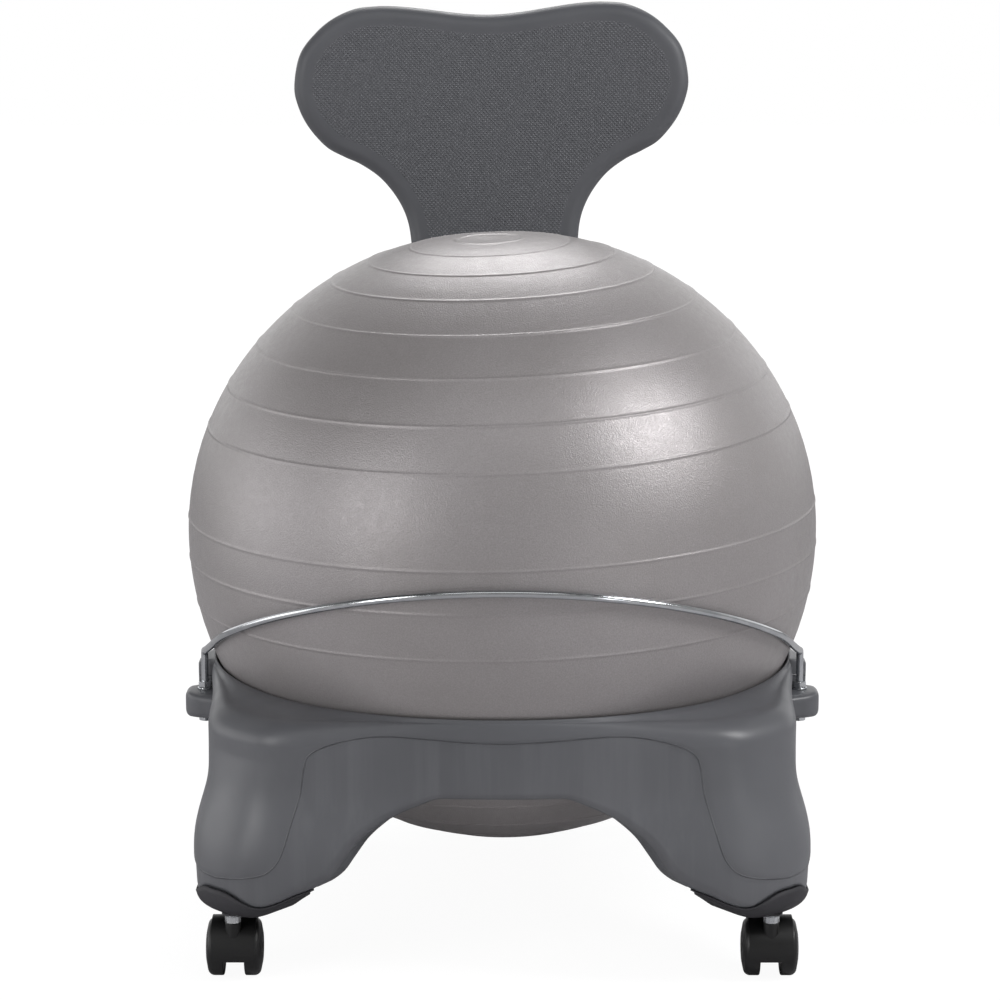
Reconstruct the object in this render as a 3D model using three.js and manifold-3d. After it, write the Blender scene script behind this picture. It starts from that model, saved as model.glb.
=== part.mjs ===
// Balance ball chair: an inflated ball in a moulded four-legged base on twin-wheel casters,
// with a steel retaining bar in front and a moulded backrest behind.
// Millimetres, +Z up, the sitter looks along -Y. While it is built, X = Y = 0 is the ball's axis.
import * as THREE from "three";
import { mergeVertices } from "three/addons/utils/BufferGeometryUtils.js";
import Module from "manifold-3d";

const wasm = await Module();
wasm.setup();

const degrees = THREE.MathUtils.degToRad;
const mix = THREE.MathUtils.lerp;
const clamp = THREE.MathUtils.clamp;
const quarterTurn = degrees(90);

// Fits that every piece shares
const seatGap = 0.3;
const turningGap = 0.4;
const cutOverrun = 5;
const bevelSteps = 2;

// Ball
const ballRadius = 275;
const ballTopShare = 0.9455;
const ballBottomShare = 0.9927;
const ballTopHeight = ballRadius * ballTopShare;
const ballBottomDepth = ballRadius * ballBottomShare;
const ballFloorGap = 67;
const ballCentreZ = ballFloorGap + ballBottomDepth;
const ballWall = 1.6;
const ballLean = degrees(1.73);
const ribHeight = 1;
const ribHalfWidth = 2.5;
const ribLatitudes = [
  -74.5, -65.6, -57.5, -48.3, -38.5, -29.2, -20.7, -12.5, -4,
  4, 20.7, 29.2, 38.5, 48.3, 57.5, 65.6, 74.5, 83.2,
].map(degrees);
const wideBandLatitude = degrees(12.4);
const ballSides = 28;
const ballInsideSides = 20;
const ballInsideSteps = 10;

// Valve plug in the ball's lower pole
const valveHoleRadius = 4.6;
const plugHeadRadius = 7.5;
const plugHeadThickness = 1.4;
const plugShankLength = 11;
const plugTipRadius = 3.4;
const plugSides = 12;

// Base: the ring that the ball sits in
const rimDepthShare = 0.4139;
const rimZ = ballCentreZ - ballBottomDepth * rimDepthShare;
const seatContactDepth = 9.5;
const seatClearance = 0.45;
const rimRadius = ballRadiusAt(rimZ) + seatClearance;
const bowlUndercutDepth = 17;
const bowlUndercut = 1.5;
const lipRound = 2;
const rimWall = 5.2;
const ringHalfWidth = rimRadius + rimWall;
const ringDrawIn = 8.7;
const ringDrawInShare = 0.55;
const ringSquareness = 7;
const railDepth = 67;
const railLowZ = rimZ - railDepth;
const railDraft = 3;
const bowlFootRise = 12;
const bowlFootZ = railLowZ + bowlFootRise;
const bowlClearance = 5.2;
const railInnerRadius = ballRadiusAt(bowlFootZ) + bowlClearance;
const railShoulderDrop = 14;
const railDeckDrop = 1;
const cornerDeckDrop = 15;
const cornerShoulderRun = 20;
const cornerShoulderDrop = 18;
const railEdgeRound = 7;
const deckMiddleShare = 0.5;
const deckMiddleDropShare = 0.4;
const lipSteps = 2;
const shoulderSteps = 3;
const wallSteps = 4;
const edgeSteps = 3;

// Base: the four legs
const footFlare = 3;
const footHalfWidth = ringHalfWidth + footFlare;
const footSquareness = 9;
const flareTopRise = 5;
const flareTopZ = railLowZ + flareTopRise;
const flareHeight = 55;
const legLowZ = 60;
const legEdgeRound = 13;
const legInnerStep = 6;
const legInnerRadius = railInnerRadius + legInnerStep;
const footFlatRun = 27;
const footFlatRadius = footHalfWidth + footFlatRun;
const undersideRise = 30;
const innerEdgeRound = 6;
const innerWallRadiusShare = 0.5;
const innerWallHeightShare = 0.8;

// Height of the arch's edge, as shares of the leg's height, at shares of the half width
const archShares = [
  [0, 1], [0.2, 1], [0.3, 0.92], [0.378, 0.83], [0.438, 0.73], [0.488, 0.62], [0.527, 0.475],
  [0.557, 0.36], [0.597, 0.285], [0.655, 0.21], [0.73, 0.11], [0.79, 0.03], [0.85, 0], [1, 0],
];
// Where the base's sections stand between the middle of a side and its corner
const stationShares = [0, 0.095, 0.195, 0.295, 0.385, 0.46, 0.52, 0.57, 0.66, 0.79, 1];

// Foot caps: the wave of their upper edge, from the inner end over the dip to the crest at the corner
const capLength = 99;
const capInnerX = footHalfWidth - capLength;
const capInnerHeight = 24;
const capDipInset = 58;
const capDipHeight = 10.5;
const capCrestInset = 27;
const capCrestHeight = 22;
const capWaveSteps = 5;

// Ears that hold the retaining bar
const earReach = 21;
const earTipX = ringHalfWidth + earReach;
const earRootDepth = 12;
const earRootX = ringHalfWidth - earRootDepth;
const earDrop = 25;
const earTopZ = rimZ - earDrop;
const earHeight = 22.5;
const earTipHalfWidth = 20;
const earRootHalfWidth = 34;
const earCornerRadius = 15;
const earEdgeRound = 3.5;
const earCornerSteps = 3;

// Retaining bar
const barRadius = 3.175;
const barFootReach = 4.3;
const barFootX = ringHalfWidth + barFootReach;
const barFootY = -40;
const barBallGap = 2.2;
const barBendRise = 7;
const barBendZ = rimZ + barBendRise;
const barFrontZ = ballCentreZ;
const barRisePower = 1.25;
const barFlareShare = 0.3;
const barBendRadius = 8;
const barEndBelowEar = 6.2;
const barSides = 10;
const barArcSteps = 24;
const barBendSteps = 4;
const barHoleClearance = 0.4;
const barScoopRadius = 8;

// Nuts and washers on the bar
const barNutFlats = 11;
const barNutHeight = 5.4;
const barWasherRadius = 6.6;
const barWasherThickness = 1.2;
const ringSides = 12;
const hexagonSides = 6;

// Backrest
const padHalfWidth = 187;
const padTopRise = 182;
const padTopZ = ballCentreZ + ballTopHeight + padTopRise;
const padPeakX = 105;
const padDip = 10.5;
const padDipHeight = 142;
const padDipStartZ = padTopZ - padDipHeight;
const backRoll = degrees(1.2);
const backThickness = 24;
const backEdgeRound = 12;
const backBallGap = 5;
const backFrontY = ballRadius + backBallGap;
const backLean = 26;
const wingForward = 16;
const wingHeight = 192;
const wingStartZ = padTopZ - wingHeight;
const wingBlendHeight = 110;
const stemHalfWidth = 70;
const stemDepth = 45;
const stemLowZ = rimZ - stemDepth;
// Half outline of the backrest from the stem to the lobe, as shares of the pad's half width and top height
const backOutlineShares = [
  [0.374, 0.31], [0.38, 0.42], [0.4, 0.56], [0.418, 0.66], [0.427, 0.712], [0.447, 0.742], [0.497, 0.768],
  [0.577, 0.792], [0.674, 0.809], [0.76, 0.819], [0.85, 0.832], [0.936, 0.857], [0.985, 0.883],
  [1, 0.908], [0.968, 0.944], [0.888, 0.969], [0.794, 0.9865], [0.68, 0.9975],
];
// The first rows of the stem stand close together, where its lower edge is rounded
const stemRowShares = [0, 0.004, 0.012, 0.026];
const backRows = 20;
const backColumns = 12;
const backOutlineSteps = 60;

// Socket for the backrest on the rear rail
const socketHalfWidth = 92;
const socketWall = 16;
const socketRearY = backFrontY + backThickness + socketWall;
const socketReach = 34;
const socketFrontY = backFrontY - socketReach;
const socketRise = 9;
const socketTopZ = rimZ + socketRise;
const socketFootRise = 3;
const socketLowZ = railLowZ + socketFootRise;
const socketCornerRadius = 16;
const socketEdgeRound = 5;
const socketCornerSteps = 4;
const socketHollowSteps = 5;

// Bolts that hold the backrest
const boltX = 44;
const boltDrop = 30;
const boltZ = socketTopZ - boltDrop;
const boltRadius = 4;
const boltHeadFlats = 13;
const boltHeadHeight = 5.3;
const boltWasherRadius = 9;
const boltWasherThickness = 1.6;
const insertRadius = 6;
const insertLength = 14;

// Casters
const casterInsetX = 36;
const casterX = footHalfWidth - casterInsetX;
const casterInsetY = 30;
const casterY = footHalfWidth - casterInsetY;
const casterTrail = 16;
const wheelRadius = 24;
const wheelInnerX = 8.8;
const wheelTreadEndX = 18.6;
const wheelShoulderX = 21.4;
const wheelOuterX = 23.4;
const wheelShoulderRadius = 21.5;
const wheelHubRadius = 12;
const wheelHubDish = 0.8;
const wheelSides = 18;
const hoodHalfWidth = 18.4;
const hoodOuterRadius = 26.6;
const hoodInnerRadius = 25;
const hoodWebHalfWidth = 8.2;
const hoodFrontAngle = degrees(-12);
const hoodRearAngle = degrees(152);
const hoodSteps = 8;
const hoodHubRadius = 9;
const bossRadius = 6.5;
const bossTopZ = 50.6;
const bossLowZ = 25;
const axleRadius = 2;
const axleHalfLength = 16;
const axleBoreDepth = 17;

// Caster stems and the sleeves that hold them
const stemPinRadius = 4;
const stemPinLowZ = 31;
const stemCollarRadius = 6.8;
const stemCollarHeight = 5.4;
const stemRadius = 5.5;
const stemTopZ = 90;
const stemTipChamfer = 1.5;
const gripGrooveDepth = 1;
const gripGrooveZ = 82;
const gripGrooveHeight = 3;
const gripRingRadius = 5.55;
const gripRingGap = degrees(40);
const sleeveRadius = 7.6;
const sleeveTopZ = 94;
const sleeveFlangeRadius = 9.4;
const sleeveFlangeThickness = 1.5;

// Helper shapes

// A closed geometry as a solid with its faces outward.
function solidOf(geometry) {
  const bare = geometry.index ? geometry.toNonIndexed() : geometry.clone();
  bare.deleteAttribute("normal");
  bare.deleteAttribute("uv");
  const merged = mergeVertices(bare);
  const triVerts = new Uint32Array(merged.index.array);
  const vertProperties = new Float32Array(merged.attributes.position.array);
  const made = new wasm.Manifold(new wasm.Mesh({ numProp: 3, vertProperties, triVerts }));
  if (made.volume() > 0) return made;
  for (let i = 0; i < triVerts.length; i += 3) {
    [triVerts[i + 1], triVerts[i + 2]] = [triVerts[i + 2], triVerts[i + 1]];
  }
  return new wasm.Manifold(new wasm.Mesh({ numProp: 3, vertProperties, triVerts }));
}

// A solid as a geometry that three.js draws.
function geometryOf(solid) {
  const mesh = solid.getMesh();
  const geometry = new THREE.BufferGeometry();
  geometry.setAttribute("position", new THREE.BufferAttribute(mesh.vertProperties, 3));
  geometry.setIndex(new THREE.BufferAttribute(mesh.triVerts, 1));
  return geometry;
}

// A closed surface through rings of points; it closes on itself, or ends in two flat caps.
function loft(rings, endless) {
  const count = rings[0].length;
  const positions = rings.flat().flatMap((p) => [p.x, p.y, p.z]);
  const faces = [];
  const last = endless ? rings.length : rings.length - 1;
  for (let i = 0; i < last; i++) {
    const a = i * count;
    const b = ((i + 1) % rings.length) * count;
    for (let j = 0; j < count; j++) {
      const k = (j + 1) % count;
      faces.push(a + j, b + j, b + k, a + j, b + k, a + k);
    }
  }
  if (!endless) {
    const end = (rings.length - 1) * count;
    for (let j = 1; j < count - 1; j++) {
      faces.push(0, j, j + 1, end, end + j + 1, end + j);
    }
  }
  const geometry = new THREE.BufferGeometry();
  geometry.setAttribute("position", new THREE.Float32BufferAttribute(positions, 3));
  geometry.setIndex(faces);
  return geometry;
}

// A profile of [radius, height] turned about the Z axis, with the middle of one side on the X axis.
function turned(profile, sides) {
  const points = profile.map(([radius, height]) => new THREE.Vector2(radius, height));
  return new THREE.LatheGeometry(points, sides, quarterTurn - Math.PI / sides).rotateX(quarterTurn);
}

// A round rod or a hole's cutter along Z.
function rod(radius, lowZ, topZ, sides) {
  return turned([[0, lowZ], [radius, lowZ], [radius, topZ], [0, topZ]], sides);
}

// A ring along Z with a bore.
function ringAlongZ(bore, radius, lowZ, topZ, sides) {
  return turned([[bore, lowZ], [radius, lowZ], [radius, topZ], [bore, topZ], [bore, lowZ]], sides);
}

// A hexagon nut or bolt head along Z, with a bore when one is given.
function hexagon(flats, bore, lowZ, topZ) {
  const body = solidOf(rod(flats / 2 / Math.cos(Math.PI / hexagonSides), lowZ, topZ, hexagonSides));
  if (!bore) return body;
  return body.subtract(solidOf(rod(bore, lowZ - cutOverrun, topZ + cutOverrun, ringSides)));
}

// A rectangle with rounded corners.
function roundedRectangle(lowX, lowY, highX, highY, radius) {
  const shape = new THREE.Shape();
  shape.moveTo(lowX + radius, lowY);
  shape.lineTo(highX - radius, lowY);
  shape.absarc(highX - radius, lowY + radius, radius, -quarterTurn, 0);
  shape.lineTo(highX, highY - radius);
  shape.absarc(highX - radius, highY - radius, radius, 0, quarterTurn);
  shape.lineTo(lowX + radius, highY);
  shape.absarc(lowX + radius, highY - radius, radius, quarterTurn, 2 * quarterTurn);
  shape.lineTo(lowX, lowY + radius);
  shape.absarc(lowX + radius, lowY + radius, radius, 2 * quarterTurn, 3 * quarterTurn);
  return shape;
}

// An outline extruded from lowZ to topZ, its two edges rounded.
function roundedBlock(shape, lowZ, topZ, edge, curveSegments) {
  const block = new THREE.ExtrudeGeometry(shape, {
    depth: topZ - lowZ - 2 * edge,
    bevelEnabled: edge > 0,
    bevelThickness: edge,
    bevelSize: edge,
    bevelOffset: -edge,
    bevelSegments: bevelSteps,
    curveSegments,
  });
  return block.translate(0, 0, lowZ + edge);
}

// Eases from 0 to 1 as the share goes from 0 to 1.
function smooth(share) {
  const s = clamp(share, 0, 1);
  return s * s * (3 - 2 * s);
}

// The value at x on a curve through [x, value] pairs that never swings past them.
function curveThrough(pairs, x) {
  const slopes = pairs.slice(1).map(([px, pv], i) => (pv - pairs[i][1]) / (px - pairs[i][0]));
  const tangents = pairs.map((_, i) => {
    const before = slopes[Math.max(i - 1, 0)];
    const after = slopes[Math.min(i, slopes.length - 1)];
    return before * after <= 0 ? 0 : (2 * before * after) / (before + after);
  });
  const i = clamp(pairs.findIndex(([px]) => px >= x) - 1, 0, pairs.length - 2);
  const width = pairs[i + 1][0] - pairs[i][0];
  const s = clamp((x - pairs[i][0]) / width, 0, 1);
  const ease = s * s * (3 - 2 * s);
  const start = s * (1 - s) * (1 - s) * width * tangents[i];
  const end = s * s * (s - 1) * width * tangents[i + 1];
  return mix(pairs[i][1], pairs[i + 1][1], ease) + start + end;
}

// Ball

// Radius of the ball at a height, both halves being ellipsoids that meet at the equator.
function ballRadiusAt(z) {
  const offset = z - ballCentreZ;
  const depth = offset > 0 ? ballTopHeight : ballBottomDepth;
  return ballRadius * Math.sqrt(Math.max(0, 1 - (offset / depth) ** 2));
}

// A point of the ball's profile, raised along its normal, about the ball's own centre.
function ballPoint(latitude, raise) {
  const height = latitude > 0 ? ballTopHeight : ballBottomDepth;
  const out = new THREE.Vector2(Math.cos(latitude) / ballRadius, Math.sin(latitude) / height).normalize();
  return [
    ballRadius * Math.cos(latitude) + raise * out.x,
    height * Math.sin(latitude) + raise * out.y,
  ];
}

// Height of the ball's lower pole around the valve, from its centre.
function valveFaceZ() {
  return -ballBottomDepth * Math.sqrt(1 - (plugHeadRadius / ballRadius) ** 2);
}

function makeBallSkin() {
  const footAngle = ribHalfWidth / ballRadius;
  const rib = (latitude) => [
    ballPoint(latitude - footAngle, 0),
    ballPoint(latitude, ribHeight),
    ballPoint(latitude + footAngle, 0),
  ];
  const below = ribLatitudes.filter((latitude) => latitude < wideBandLatitude).flatMap(rib);
  const above = ribLatitudes.filter((latitude) => latitude > wideBandLatitude).flatMap(rib);
  const lowerPole = [[0, -ballBottomDepth], [plugHeadRadius, valveFaceZ()]];
  const outer = [...lowerPole, ...below, ballPoint(wideBandLatitude, 0), ...above, [0, ballTopHeight]];
  const inner = [];
  for (let i = 0; i <= ballInsideSteps; i++) {
    const latitude = mix(-quarterTurn, quarterTurn, i / ballInsideSteps);
    const [radius, height] = ballPoint(latitude, -ballWall);
    inner.push([i % ballInsideSteps ? radius : 0, height]);
  }
  const hole = rod(valveHoleRadius, -ballBottomDepth - cutOverrun, -ballBottomDepth / 2, plugSides);
  return solidOf(turned(outer, ballSides))
    .subtract(solidOf(turned(inner, ballInsideSides)))
    .subtract(solidOf(hole));
}

function makeValvePlug() {
  const headTop = valveFaceZ() - ballRoundBelowHead() - seatGap;
  const neck = valveHoleRadius - seatGap;
  return turned(
    [
      [0, headTop - plugHeadThickness],
      [plugHeadRadius - plugHeadThickness / 2, headTop - plugHeadThickness],
      [plugHeadRadius, headTop - plugHeadThickness / 2],
      [plugHeadRadius, headTop],
      [neck, headTop],
      [neck, headTop + plugShankLength / 2],
      [plugTipRadius, headTop + plugShankLength],
      [0, headTop + plugShankLength],
    ],
    plugSides,
  );
}

// How far the pole stands below the edge of the plug's head.
function ballRoundBelowHead() {
  return ballBottomDepth + valveFaceZ();
}

// Base

// The base's outline in plan at a height: a squarish ring above, squarer legs below.
function outlineRadius(angle, share, z) {
  const flare = smooth((flareTopZ - z) / flareHeight);
  const drawnIn = ringHalfWidth - ringDrawIn * smooth(share / ringDrawInShare);
  const halfWidth = mix(drawnIn, footHalfWidth, flare);
  const power = mix(ringSquareness, footSquareness, flare);
  const sum = Math.abs(Math.cos(angle)) ** power + Math.abs(Math.sin(angle)) ** power;
  return halfWidth * sum ** (-1 / power);
}

// One upright section of the base at an angle: bowl, lip, deck, shoulder, wall and underside.
function baseSection(angle, share) {
  const leg = 1 - curveThrough(archShares, share);
  const corner = smooth(share);
  const lowZ = mix(railLowZ, legLowZ, leg);
  const seatLowZ = rimZ - seatContactDepth;
  const section = [
    [ballRadiusAt(seatLowZ) + seatClearance, seatLowZ],
    [rimRadius, rimZ],
  ];
  for (let i = 1; i <= lipSteps; i++) {
    const turn = (i / lipSteps) * quarterTurn;
    section.push([rimRadius + lipRound * (1 - Math.cos(turn)), rimZ + lipRound * Math.sin(turn)]);
  }
  const lipEnd = rimRadius + lipRound;
  const deckZ = rimZ - mix(railDeckDrop, cornerDeckDrop, corner);
  const shoulderDrop = mix(railShoulderDrop, cornerShoulderDrop, corner);
  const wallTopZ = deckZ - shoulderDrop;
  const wallTop = outlineRadius(angle, share, wallTopZ);
  const shoulderRun = mix((ringHalfWidth - lipEnd) / 2, cornerShoulderRun, corner);
  const deckEnd = wallTop - shoulderRun;
  const deckMiddle = mix(lipEnd, deckEnd, deckMiddleShare);
  section.push([deckMiddle, mix(rimZ + lipRound, deckZ, deckMiddleDropShare)]);
  for (let i = 0; i <= shoulderSteps; i++) {
    const turn = (i / shoulderSteps) * quarterTurn;
    section.push([deckEnd + shoulderRun * Math.sin(turn), deckZ - shoulderDrop * (1 - Math.cos(turn))]);
  }
  const edge = mix(railEdgeRound, legEdgeRound, leg);
  const wallLowZ = lowZ + edge;
  const draft = railDraft * (1 - leg);
  for (let i = 1; i <= wallSteps; i++) {
    const z = mix(wallTopZ, wallLowZ, i / wallSteps);
    section.push([outlineRadius(angle, share, z) - (draft * i) / wallSteps, z]);
  }
  const edgeCentre = section.at(-1)[0] - edge;
  for (let i = 1; i <= edgeSteps; i++) {
    const turn = (i / edgeSteps) * quarterTurn;
    section.push([edgeCentre + edge * Math.cos(turn), wallLowZ - edge * Math.sin(turn)]);
  }
  const innerRadius = mix(railInnerRadius, legInnerRadius, leg);
  const undersideZ = lowZ + undersideRise * leg;
  const flatEnd = mix(innerRadius + innerEdgeRound, footFlatRadius, leg);
  section.push([Math.min(flatEnd, edgeCentre - seatGap), lowZ]);
  section.push([innerRadius + innerEdgeRound / 2, undersideZ + innerEdgeRound / 4]);
  section.push([innerRadius, undersideZ + innerEdgeRound]);
  const innerWallRadius = mix(innerRadius, railInnerRadius, innerWallRadiusShare);
  section.push([innerWallRadius, mix(undersideZ, bowlFootZ, innerWallHeightShare)]);
  const undercutZ = rimZ - bowlUndercutDepth;
  section.push([ballRadiusAt(undercutZ) + ribHeight + bowlUndercut, undercutZ]);
  return section.map(([r, z]) => new THREE.Vector3(r * Math.cos(angle), r * Math.sin(angle), z));
}

// Sections all round, closer together where the arches are steep.
function makeBaseBody() {
  const steps = stationShares.length - 1;
  const rings = [];
  for (let side = 0; side < 4; side++) {
    for (let i = -steps; i < steps; i++) {
      const share = stationShares[Math.abs(i)];
      const angle = side * quarterTurn + Math.sign(i) * Math.atan(share);
      rings.push(baseSection(angle, share));
    }
  }
  return solidOf(loft(rings, true));
}

// The corners of the part, as the signs of X and Y.
const corners = {
  front_left: [-1, -1],
  front_right: [1, -1],
  rear_left: [-1, 1],
  rear_right: [1, 1],
};
const sides = { left: -1, right: 1 };

// The space under a foot cap's wavy upper edge, seen along Y, raised and lengthened by a gap for the leg's cut.
function capSlab(gap) {
  const innerX = capInnerX - gap;
  const outerX = footHalfWidth + cutOverrun;
  const inner = new THREE.Vector2(innerX, legLowZ + capInnerHeight + gap);
  const dip = new THREE.Vector2(footHalfWidth - capDipInset, legLowZ + capDipHeight + gap);
  const crest = new THREE.Vector2(footHalfWidth - capCrestInset, legLowZ + capCrestHeight + gap);
  const wave = (from, to) => {
    const points = [];
    for (let i = 0; i < capWaveSteps; i++) {
      const s = i / capWaveSteps;
      points.push(new THREE.Vector2(mix(from.x, to.x, s), mix(from.y, to.y, smooth(s))));
    }
    return points;
  };
  const outline = [
    new THREE.Vector2(innerX, legLowZ - cutOverrun),
    ...wave(inner, dip),
    ...wave(dip, crest),
    crest,
    new THREE.Vector2(outerX, crest.y),
    new THREE.Vector2(outerX, legLowZ - cutOverrun),
  ];
  const slab = new THREE.ExtrudeGeometry(new THREE.Shape(outline), { depth: outerX, bevelEnabled: false });
  return slab.rotateX(quarterTurn).translate(0, outerX, 0);
}

// The wave runs along both faces of a corner, so the cap's space is where two such slabs cross.
function capRegion(signX, signY, gap) {
  const acrossFront = solidOf(capSlab(gap).scale(signX, signY, 1));
  const alongSide = solidOf(capSlab(gap).rotateZ(quarterTurn).scale(-signX, signY, 1));
  return acrossFront.intersect(alongSide);
}

// The hole for a caster's sleeve, in the leg and its cap.
function sleeveHole(signX, signY) {
  const hole = rod(sleeveRadius + seatGap, legLowZ - cutOverrun, sleeveTopZ + seatGap, ringSides);
  return solidOf(hole.translate(signX * casterX, signY * casterY, 0));
}

// The lug on a side: a block that narrows outwards.
function earBlock(sign) {
  const corner = earCornerRadius;
  const shape = new THREE.Shape();
  shape.moveTo(earRootX, -earRootHalfWidth);
  shape.lineTo(earTipX - corner, -earTipHalfWidth);
  shape.quadraticCurveTo(earTipX, -earTipHalfWidth, earTipX, corner - earTipHalfWidth);
  shape.lineTo(earTipX, earTipHalfWidth - corner);
  shape.quadraticCurveTo(earTipX, earTipHalfWidth, earTipX - corner, earTipHalfWidth);
  shape.lineTo(earRootX, earRootHalfWidth);
  const block = roundedBlock(shape, earTopZ - earHeight, earTopZ, earEdgeRound, earCornerSteps);
  return solidOf(block.translate(0, barFootY, 0).scale(sign, 1, 1));
}

// What is cut from an ear: the bar's hole, and the hollow in the ring above it for nut and washer.
function earCuts(sign) {
  const hole = rod(barRadius + barHoleClearance, earTopZ - earHeight - cutOverrun, earTopZ + cutOverrun, ringSides);
  const hollow = rod(barScoopRadius, earTopZ, rimZ + cutOverrun, ringSides);
  const place = (geometry) => solidOf(geometry.translate(sign * barFootX, barFootY, 0));
  return place(hole).add(place(hollow));
}

// The block behind the ring, hollowed where the ball comes near.
function makeSocketBlock() {
  const shape = roundedRectangle(-socketHalfWidth, socketFrontY, socketHalfWidth, socketRearY, socketCornerRadius);
  const block = solidOf(roundedBlock(shape, socketLowZ, socketTopZ, socketEdgeRound, socketCornerSteps));
  const hollow = [[0, socketLowZ - cutOverrun]];
  for (let i = 0; i <= socketHollowSteps; i++) {
    const z = mix(socketLowZ - cutOverrun, socketTopZ + cutOverrun, i / socketHollowSteps);
    hollow.push([ballRadiusAt(z) + ribHeight + seatClearance, z]);
  }
  hollow.push([0, socketTopZ + cutOverrun]);
  return block.subtract(solidOf(turned(hollow, 2 * ballSides)));
}

// Turns a piece of the backrest as the backrest stands, a little off upright about its bolts.
function rolled(geometry) {
  return geometry.translate(0, 0, -boltZ).rotateY(-backRoll).translate(0, 0, boltZ);
}

// The pocket that takes the backrest's stem, open at the top.
function makePocket() {
  const width = 2 * (stemHalfWidth + seatGap);
  const depth = backThickness + 2 * seatGap;
  const height = socketTopZ - stemLowZ + seatGap + cutOverrun;
  const pocket = new THREE.BoxGeometry(width, depth, height);
  return solidOf(rolled(pocket.translate(0, backMiddleY(stemLowZ), stemLowZ - seatGap + height / 2)));
}

// A bolt's hole through the socket's rear wall.
function boltHole(sign) {
  const hole = rod(boltRadius + turningGap, 0, socketRearY - backMiddleY(stemLowZ) + cutOverrun, ringSides);
  hole.rotateX(-quarterTurn).translate(sign * boltX, backMiddleY(stemLowZ), boltZ);
  return solidOf(rolled(hole));
}

function makeBaseShell(body) {
  let base = body.add(makeSocketBlock()).subtract(makePocket());
  for (const sign of Object.values(sides)) {
    base = base.add(earBlock(sign)).subtract(earCuts(sign)).subtract(boltHole(sign));
  }
  for (const [signX, signY] of Object.values(corners)) {
    base = base.subtract(capRegion(signX, signY, seatGap)).subtract(sleeveHole(signX, signY));
  }
  return largest(base);
}

function makeFootCap(body, signX, signY) {
  return largest(body.intersect(capRegion(signX, signY, 0)).subtract(sleeveHole(signX, signY)));
}

// The biggest body of a solid, without the crumbs that a shallow cut leaves.
function largest(solid) {
  return solid.decompose().sort((a, b) => b.volume() - a.volume())[0];
}

// Retaining bar

// A point of the bar's centre line, at an angle from the front: it hugs the ball and drops to the ears.
function barPoint(angle) {
  const footAngle = Math.atan2(barFootX, -barFootY);
  const rise = (Math.cos(angle) - Math.cos(footAngle)) / (1 - Math.cos(footAngle));
  const z = mix(barBendZ, barFrontZ, clamp(rise, 0, 1) ** barRisePower);
  const hugging = ballRadiusAt(z) + barBallGap + barRadius;
  const flare = smooth((Math.abs(angle) / footAngle - 1) / barFlareShare + 1);
  const radius = mix(hugging, Math.hypot(barFootX, barFootY), flare);
  return new THREE.Vector3(radius * Math.sin(angle), -radius * Math.cos(angle), z);
}

// The bar: up through one ear, round the front of the ball and down through the other ear.
function makeRetainingBar() {
  const footAngle = Math.atan2(barFootX, -barFootY);
  const endAngle = footAngle - barBendRadius / barFootX;
  const foot = (sign) => new THREE.Vector3(sign * barFootX, barFootY, earTopZ - earHeight - barEndBelowEar);
  const legTop = (sign) => new THREE.Vector3(sign * barFootX, barFootY, barBendZ - barBendRadius);
  const knee = (sign) => new THREE.Vector3(sign * barFootX, barFootY, barBendZ);
  const bend = (sign) => new THREE.QuadraticBezierCurve3(legTop(sign), knee(sign), barPoint(sign * endAngle));
  const points = [foot(-1), ...bend(-1).getPoints(barBendSteps)];
  for (let i = 1; i < barArcSteps; i++) {
    points.push(barPoint(mix(-endAngle, endAngle, i / barArcSteps)));
  }
  points.push(...bend(1).getPoints(barBendSteps).reverse(), foot(1));
  return tube(points, barRadius, barSides);
}

// A round tube along straight stretches between points, its rings square to the path.
function tube(points, radius, count) {
  const frame = { side: new THREE.Vector3(0, 1, 0) };
  const rings = points.map((point, i) => {
    const before = points[Math.max(i - 1, 0)];
    const after = points[Math.min(i + 1, points.length - 1)];
    const along = after.clone().sub(before).normalize();
    frame.side.addScaledVector(along, -frame.side.dot(along)).normalize();
    const across = new THREE.Vector3().crossVectors(along, frame.side);
    const ring = [];
    for (let j = 0; j < count; j++) {
      const angle = (j / count) * 4 * quarterTurn;
      const offset = frame.side.clone().multiplyScalar(radius * Math.cos(angle));
      ring.push(offset.addScaledVector(across, radius * Math.sin(angle)).add(point));
    }
    return ring;
  });
  return loft(rings, false);
}

// Backrest

// The middle surface of the backrest: upright behind the ball, then leaning back, its wings forward.
function backMiddleY(z, x = 0) {
  const lean = backLean * smooth((z - ballCentreZ) / (padTopZ - ballCentreZ));
  const wings = wingForward * (x / padHalfWidth) ** 2 * smooth((z - wingStartZ) / wingBlendHeight);
  return backFrontY + backThickness / 2 + lean - wings;
}

// The half outline from the bottom of the stem up to the lobe.
function backOutline() {
  const shares = [[stemHalfWidth / padHalfWidth, stemLowZ / padTopZ], ...backOutlineShares];
  const lobe = [padPeakX / padHalfWidth, 1];
  const points = [...shares, lobe].map(([x, z]) => new THREE.Vector2(x * padHalfWidth, z * padTopZ));
  return new THREE.SplineCurve(points);
}

// Lowers the middle of the rows near the top, so that the top edge dips between two lobes.
function dippedZ(x, rowZ) {
  const height = smooth((rowZ - padDipStartZ) / (padTopZ - padDipStartZ));
  return rowZ - padDip * height * (1 - smooth(Math.abs(x) / padPeakX));
}

// The least distance from a point to a closed line of points.
function distanceToLine(point, line) {
  let least = Infinity;
  line.forEach((a, i) => {
    const b = line[(i + 1) % line.length];
    const run = b.clone().sub(a);
    const s = clamp(point.clone().sub(a).dot(run) / run.lengthSq(), 0, 1);
    least = Math.min(least, a.clone().addScaledVector(run, s).distanceTo(point));
  });
  return least;
}

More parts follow.
